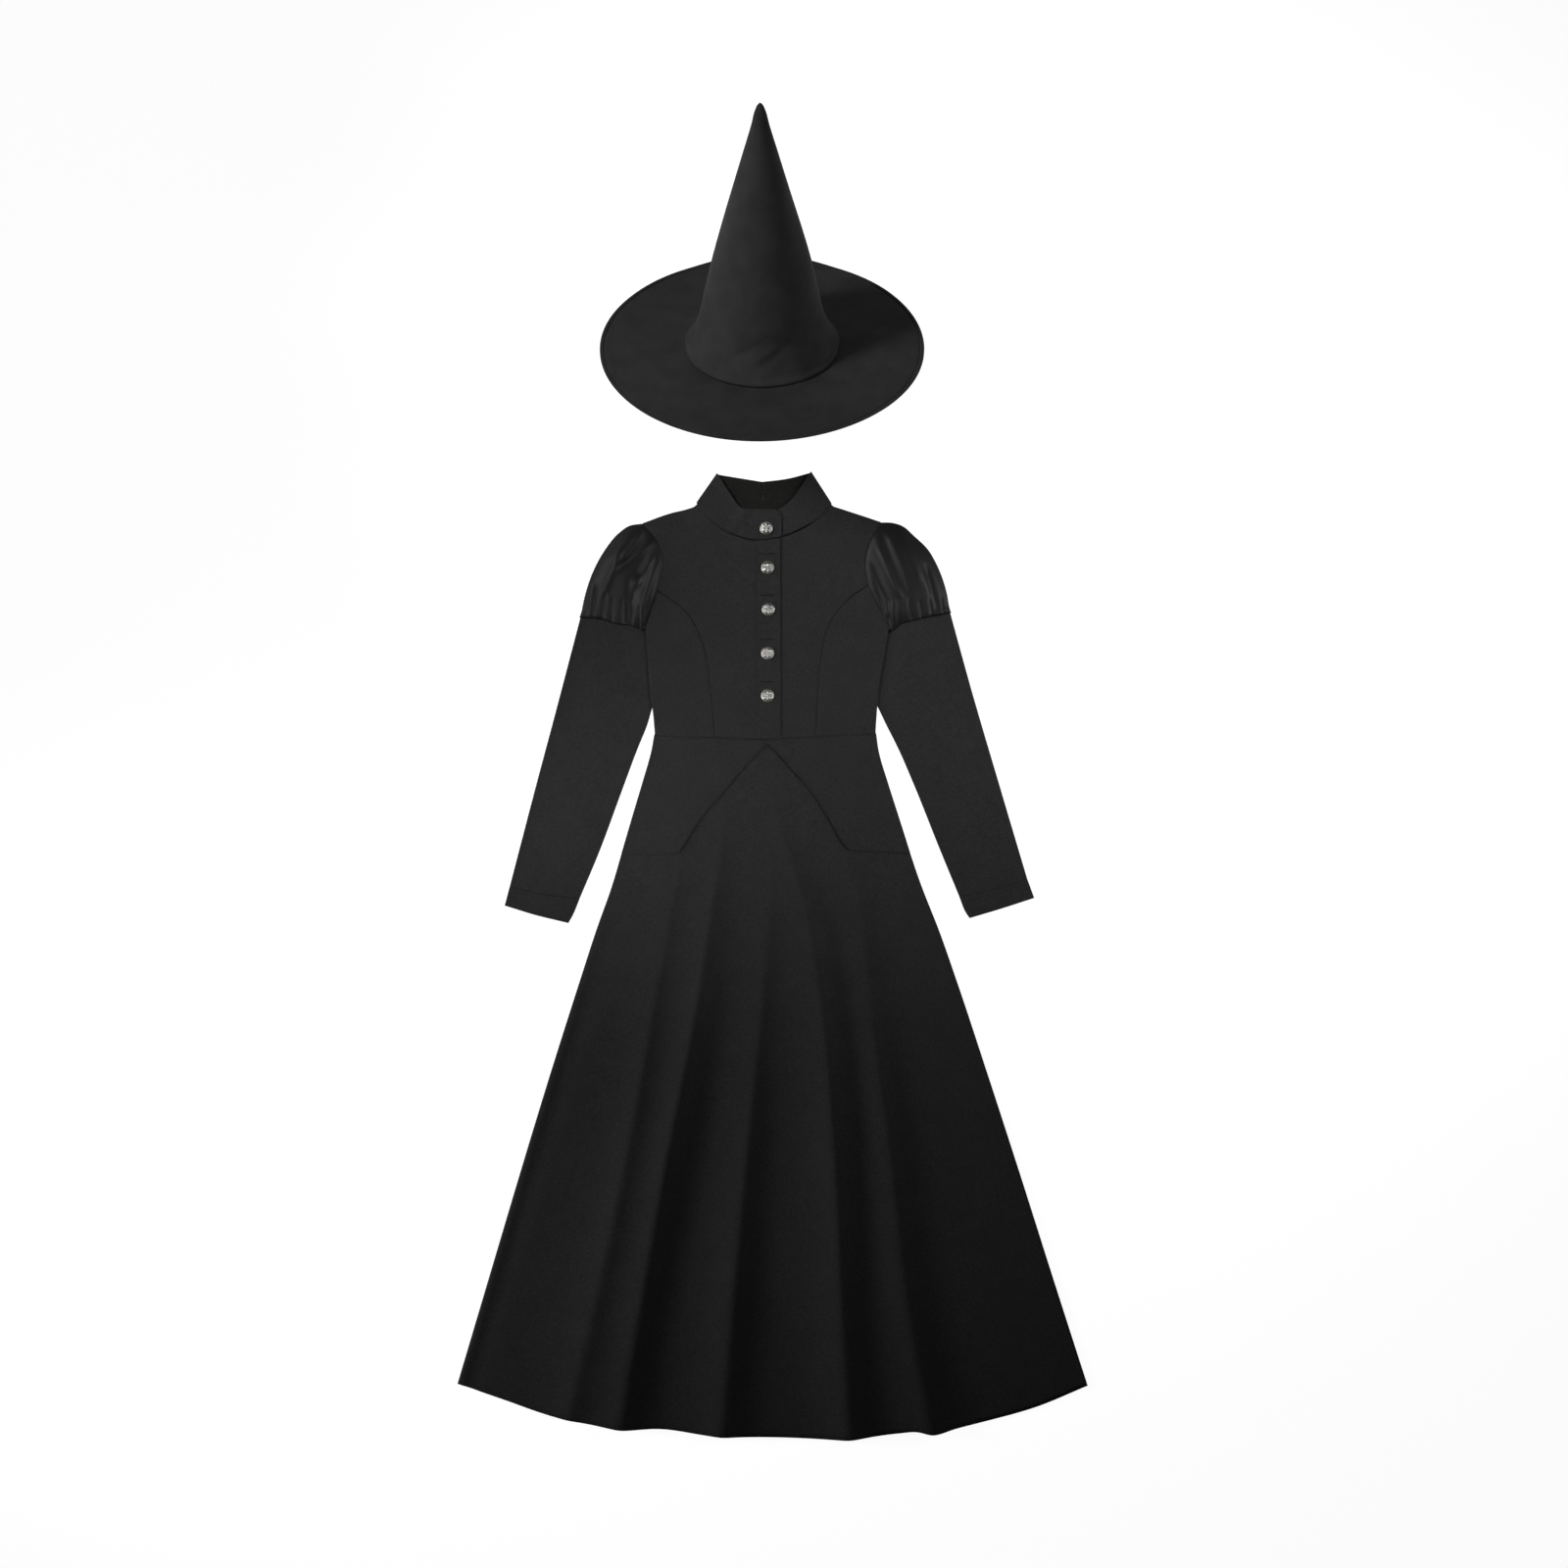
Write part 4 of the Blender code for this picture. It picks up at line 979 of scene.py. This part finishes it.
def buttonMaterial():
    material, nodes, links = newMaterial("agedSilver")
    shader = nodes["Principled BSDF"]
    shader.inputs["Metallic"].default_value = 1.0
    where = nodes.new("ShaderNodeNewGeometry")
    edges = nodes.new("ShaderNodeValToRGB")
    edges.color_ramp.elements[0].position = 0.46
    edges.color_ramp.elements[0].color = (*buttons["patina"], 1.0)
    edges.color_ramp.elements[1].position = 0.53
    edges.color_ramp.elements[1].color = (*buttons["silver"], 1.0)
    links.new(where.outputs["Pointiness"], edges.inputs["Fac"])
    links.new(edges.outputs["Color"], shader.inputs["Base Color"])
    wear = nodes.new("ShaderNodeTexNoise")
    wear.inputs["Scale"].default_value = 900.0
    wear.inputs["Detail"].default_value = 5.0
    spread = nodes.new("ShaderNodeMapRange")
    spread.inputs["To Min"].default_value = buttons["roughness"] - 0.08
    spread.inputs["To Max"].default_value = buttons["roughness"] + 0.22
    links.new(wear.outputs["Fac"], spread.inputs["Value"])
    links.new(spread.outputs["Result"], shader.inputs["Roughness"])
    return material


def buildButtons():
    metal = buttonMaterial()
    rings, segments = 64, 96
    profile = smoothLine([(radius, height) for radius, height in buttons["profile"]], rings)
    angles = np.linspace(0, 2 * math.pi, segments, endpoint=False)
    for name, x, y in buttons["rows"]:
        level = collarLapLevel if y > 303 else lapLevel
        around = np.linspace(0, 2 * math.pi, 12, endpoint=False)
        seat = level(x + 10 * np.append(0, np.cos(around)), y + 10 * np.append(0, np.sin(around))).max() + layerStep
        bm = bmesh.new()
        loops = []
        for radius, height in profile[1:-1]:
            top = smoothStep((height - 1.2) / 1.2)
            petal = np.cos(buttons["petals"] * angles) * bell((radius - 4.6) / 2.0)
            groove = -0.45 * bell((radius - 2.1) / 0.45) - 0.5 * bell((radius - 7.3) / 0.4)
            bead = np.cos(buttons["beads"] * angles) * bell((radius - 8.6) / 0.7)
            lift = top * (buttons["petalRise"] * petal + groove + 0.22 * bead + 0.25 * bell(radius / 1.4))
            loop = []
            for angle, rise in zip(angles, np.broadcast_to(lift, angles.shape)):
                spot = np.array([x + radius * math.cos(angle), y + radius * math.sin(angle), seat + height + rise])
                loop.append(bm.verts.new(inFrame(spot)))
            loops.append(loop)
        for first, second in zip(loops, loops[1:]):
            for corner in range(segments):
                after = (corner + 1) % segments
                bm.faces.new((first[corner], second[corner], second[after], first[after]))
        bm.faces.new(loops[0])
        bm.faces.new(loops[-1][::-1])
        bmesh.ops.recalc_face_normals(bm, faces=bm.faces)
        handOver(newPiece("button" + name[-1], bm, metal), [name])
    print("buttons sewn on")


# hat

hat = {
    "x": -14.3,
    "bendY": 851.0,
    "brimRadius": 232.9,
    "headRadius": 95,
    "lean": math.radians(45.3),
    "bend": 50,
    "contact": 12,
    "wall": 2.0,
    "crown": (  # radius, height above the brim
        (0.4, 373.4),
        (3.2, 371.5),
        (6.5, 364.8),
        (12.4, 342.3),
        (25.6, 296.7),
        (42, 238.5),
        (55.3, 190.5),
        (68.2, 141.6),
        (80.5, 87),
        (89.6, 46.6),
        (95.6, 30),
        (101, 17.5),
        (104.2, 10.8),
        (106, 8),
        (108.4, 7),
        (110.6, 5.4),
        (110.8, 3.4),
        (108.8, 2.0),
        (104, 1.6),
        (97, 1.5),
    ),
    "dents": (  # turn from the front in degrees, height, length, width, depth, slant
        (-14, 46, 30, 5.0, -1.5, 0.55),
        (-2, 38, 26, 4.0, 1.1, 0.50),
        (8, 34, 30, 5.0, -1.3, 0.60),
        (24, 50, 34, 7.0, -0.9, -0.35),
        (-34, 58, 36, 8.0, 0.8, -0.30),
        (52, 30, 26, 6.0, 0.9, 0.45),
        (-62, 34, 28, 6.0, -0.9, 0.40),
        (150, 44, 36, 7.0, -1.0, 0.40),
        (205, 52, 30, 7.0, 0.8, -0.40),
    ),
    "segments": 220,
    "crownRows": 150,
    "brimRows": 60,
}


def brimSpot(x, back, lift):
    # flat in front, bent at the back to lie on the floor
    flatFrom = hat["brimRadius"] - hat["contact"]
    bendStart = flatFrom - hat["bend"] * hat["lean"] / 2
    bendEnd = flatFrom + hat["bend"] * hat["lean"] / 2
    angle = np.clip((bendEnd - back) / hat["bend"], 0.0, hat["lean"])
    beyond = np.maximum(back - bendEnd, 0.0)
    before = np.maximum(bendStart - back, 0.0)
    y = beyond - hat["bend"] * np.sin(angle) - before * np.cos(angle) + lift * np.sin(angle)
    z = hat["bend"] * (1 - np.cos(angle)) + before * np.sin(angle) + lift * np.cos(angle)
    return np.stack([x + hat["x"], y + hat["bendY"], z], axis=-1)


def buildHat():
    segments = hat["segments"]
    angles = np.linspace(0, 2 * math.pi, segments + 1)
    angles[-1] = 0.0
    radii = np.concatenate([np.linspace(hat["headRadius"], 224, hat["brimRows"] - 16), np.linspace(225, hat["brimRadius"], 16)])
    turn, radius = np.meshgrid(angles, radii)
    # a turned and stitched edge, and a brim that isn't quite even
    edge = 0.45 * smoothStep((radius - 227.6) / 1.2) - 0.9 * bell((radius - 226.8) / 1.3)
    edge += 0.5 * bell((turn - 1.15) / 0.10) * bell((radius - 190) / 26) + 0.6 * bell((turn - 1.45) / 0.09) * bell((radius - 175) / 30)
    edge -= 0.6 * bell((turn - 1.30) / 0.08) * bell((radius - 182) / 28)
    rest = smoothStep((hat["brimRadius"] - hat["contact"] - 40 - radius * np.cos(turn)) / 60)
    sway = 0.8 * np.sin(3 * turn + 0.7) * (radius / hat["brimRadius"]) ** 2 * rest
    lift = hat["wall"] / 2 + edge + sway
    points = brimSpot(radius * np.sin(turn), radius * np.cos(turn), lift)
    brim = handOver(clothPiece("hatBrim", points * mm, hatCloth, hat["wall"], True), ["hat_brim"])

    centre = brimSpot(np.array(0.0), np.array(0.0), np.array(hat["wall"] / 2))
    profile = smoothLine(hat["crown"], hat["crownRows"])
    grid = np.zeros((hat["crownRows"], segments + 1, 3))
    front = -math.pi / 2
    for row, (radius, height) in enumerate(profile):
        ease = smoothStep(radius / 60)
        away = np.zeros(segments + 1)
        for degrees, level, length, width, depth, slant in hat["dents"]:
            arc = (angles - front - math.radians(degrees) + math.pi) % (2 * math.pi) - math.pi
            arc = arc * radius
            along = arc * math.cos(slant) + (height - level) * math.sin(slant)
            across = -arc * math.sin(slant) + (height - level) * math.cos(slant)
            away += depth * bell(along / length) * bell(across / width)
        away += ease * (0.7 * np.sin(2 * angles + height / 60) + 0.4 * np.sin(5 * angles - height / 35))
        roll = bell((height - 14) / 12) * smoothStep((radius - 88) / 12)
        away += roll * (1.0 * np.sin(7 * angles + 0.4) + 0.7 * np.sin(12 * angles + 1.9))
        # the crown's join runs up the back
        away -= 0.8 * bell((((angles + front + math.pi) % (2 * math.pi)) - math.pi) * max(radius, 1.0) / 2.0) * ease
        width = np.maximum(radius + away * smoothStep((height - 1.5) / 4), 0.3)
        grid[row, :, 0] = width * np.cos(angles)
        grid[row, :, 1] = width * np.sin(angles)
        grid[row, :, 2] = height
    wall = hat["wall"]
    tilt = np.array([[1, 0, 0], [0, math.cos(hat["lean"]), math.sin(hat["lean"])], [0, -math.sin(hat["lean"]), math.cos(hat["lean"])]])
    shrink = grid.copy()
    reach = np.linalg.norm(shrink[..., :2], axis=-1, keepdims=True)
    shrink[..., :2] *= np.maximum(reach - wall / 2, 0.25) / np.maximum(reach, 0.26)
    shrink[..., 2] -= 0.2
    crown = clothPiece("hatCrown", (shrink @ tilt.T + centre) * mm, hatCloth, wall, True)
    handOver(crown, ["hat_crown"])
    print("hat set above the collar")


buildSkirt()
buildPeplum()
buildBacks()
buildFronts()
buildCollar()
buildSleeves()
buildButtons()
buildHat()


# floor, light and camera

studio = {
    "floorTone": 0.15,
    "floorGlow": 0.95,  # the table under the clothes is lit through, as for a cut-out picture
    "worldTone": 0.03,
    "lamps": {
        "skirtKey": {"at": (-2.4, -0.5, 0.7), "towards": (0.0, -0.55, 0.0), "size": 0.4, "power": 4.3, "spread": 55},
        "farLeft": {"at": (-3.2, 0.2, 1.6), "towards": (0.0, 0.0, 0.0), "size": 0.9, "power": 13.0, "spread": 180},
        "rightSoftbox": {"at": (1.8, 0.3, 1.4), "towards": (0.2, 0.3, 0.0), "size": 0.8, "power": 5.1, "spread": 80},
        "hatKey": {"at": (-1.3, 1.0, 1.4), "towards": (0.0, 0.72, 0.2), "size": 0.5, "power": 2.5, "spread": 40},
        "leftSleeve": {"at": (-0.9, 0.0, 1.5), "towards": (-0.25, 0.02, 0.0), "size": 0.3, "power": 0.44, "spread": 26},
        "rightSleeve": {"at": (1.5, 0.1, 1.5), "towards": (0.27, 0.05, 0.0), "size": 0.3, "power": 0.30, "spread": 26},
    },
    "cameraHeight": 3.2889,
    "cameraAt": (0.01718, 0.04372),
    "lens": 50.0,
}


def buildLamp(name, look):
    light = bpy.data.lights.new(name, "AREA")
    light.shape = "DISK"
    light.size = look["size"]
    light.energy = look["power"]
    light.spread = math.radians(look["spread"])
    lamp = bpy.data.objects.new(name, light)
    lamp.location = look["at"]
    aim = Vector(look["towards"]) - Vector(look["at"])
    lamp.rotation_euler = aim.to_track_quat("-Z", "Y").to_euler()
    bpy.context.scene.collection.objects.link(lamp)
    return lamp


def buildStudio():
    bpy.ops.mesh.primitive_plane_add(size=14.0, location=(0, 0, -0.0006))
    floor = bpy.context.object
    floor.name = "floor"
    material, nodes, links = newMaterial("paleFloor")
    shader = nodes["Principled BSDF"]
    tone = studio["floorTone"]
    shader.inputs["Base Color"].default_value = (tone, tone, tone, 1.0)
    shader.inputs["Roughness"].default_value = 0.9
    shader.inputs["Specular IOR Level"].default_value = 0.1
    shader.inputs["Emission Color"].default_value = (1.0, 1.0, 1.0, 1.0)
    shader.inputs["Emission Strength"].default_value = studio["floorGlow"]
    floor.data.materials.append(material)
    world = bpy.context.scene.world or bpy.data.worlds.new("studio")
    bpy.context.scene.world = world
    world.use_nodes = True
    sky = world.node_tree.nodes["Background"]
    sky.inputs["Color"].default_value = (1.0, 1.0, 1.0, 1.0)
    sky.inputs["Strength"].default_value = studio["worldTone"]
    lamps = [buildLamp(name, look) for name, look in studio["lamps"].items()]
    lens = bpy.data.cameras.new("overhead")
    lens.lens = studio["lens"]
    lens.sensor_width = 36.0
    camera = bpy.data.objects.new("overhead", lens)
    camera.location = (*studio["cameraAt"], studio["cameraHeight"])
    bpy.context.scene.collection.objects.link(camera)
    bpy.context.scene.camera = camera
    bpy.context.scene.view_settings.view_transform = "Standard"
    print("studio ready")


buildStudio()
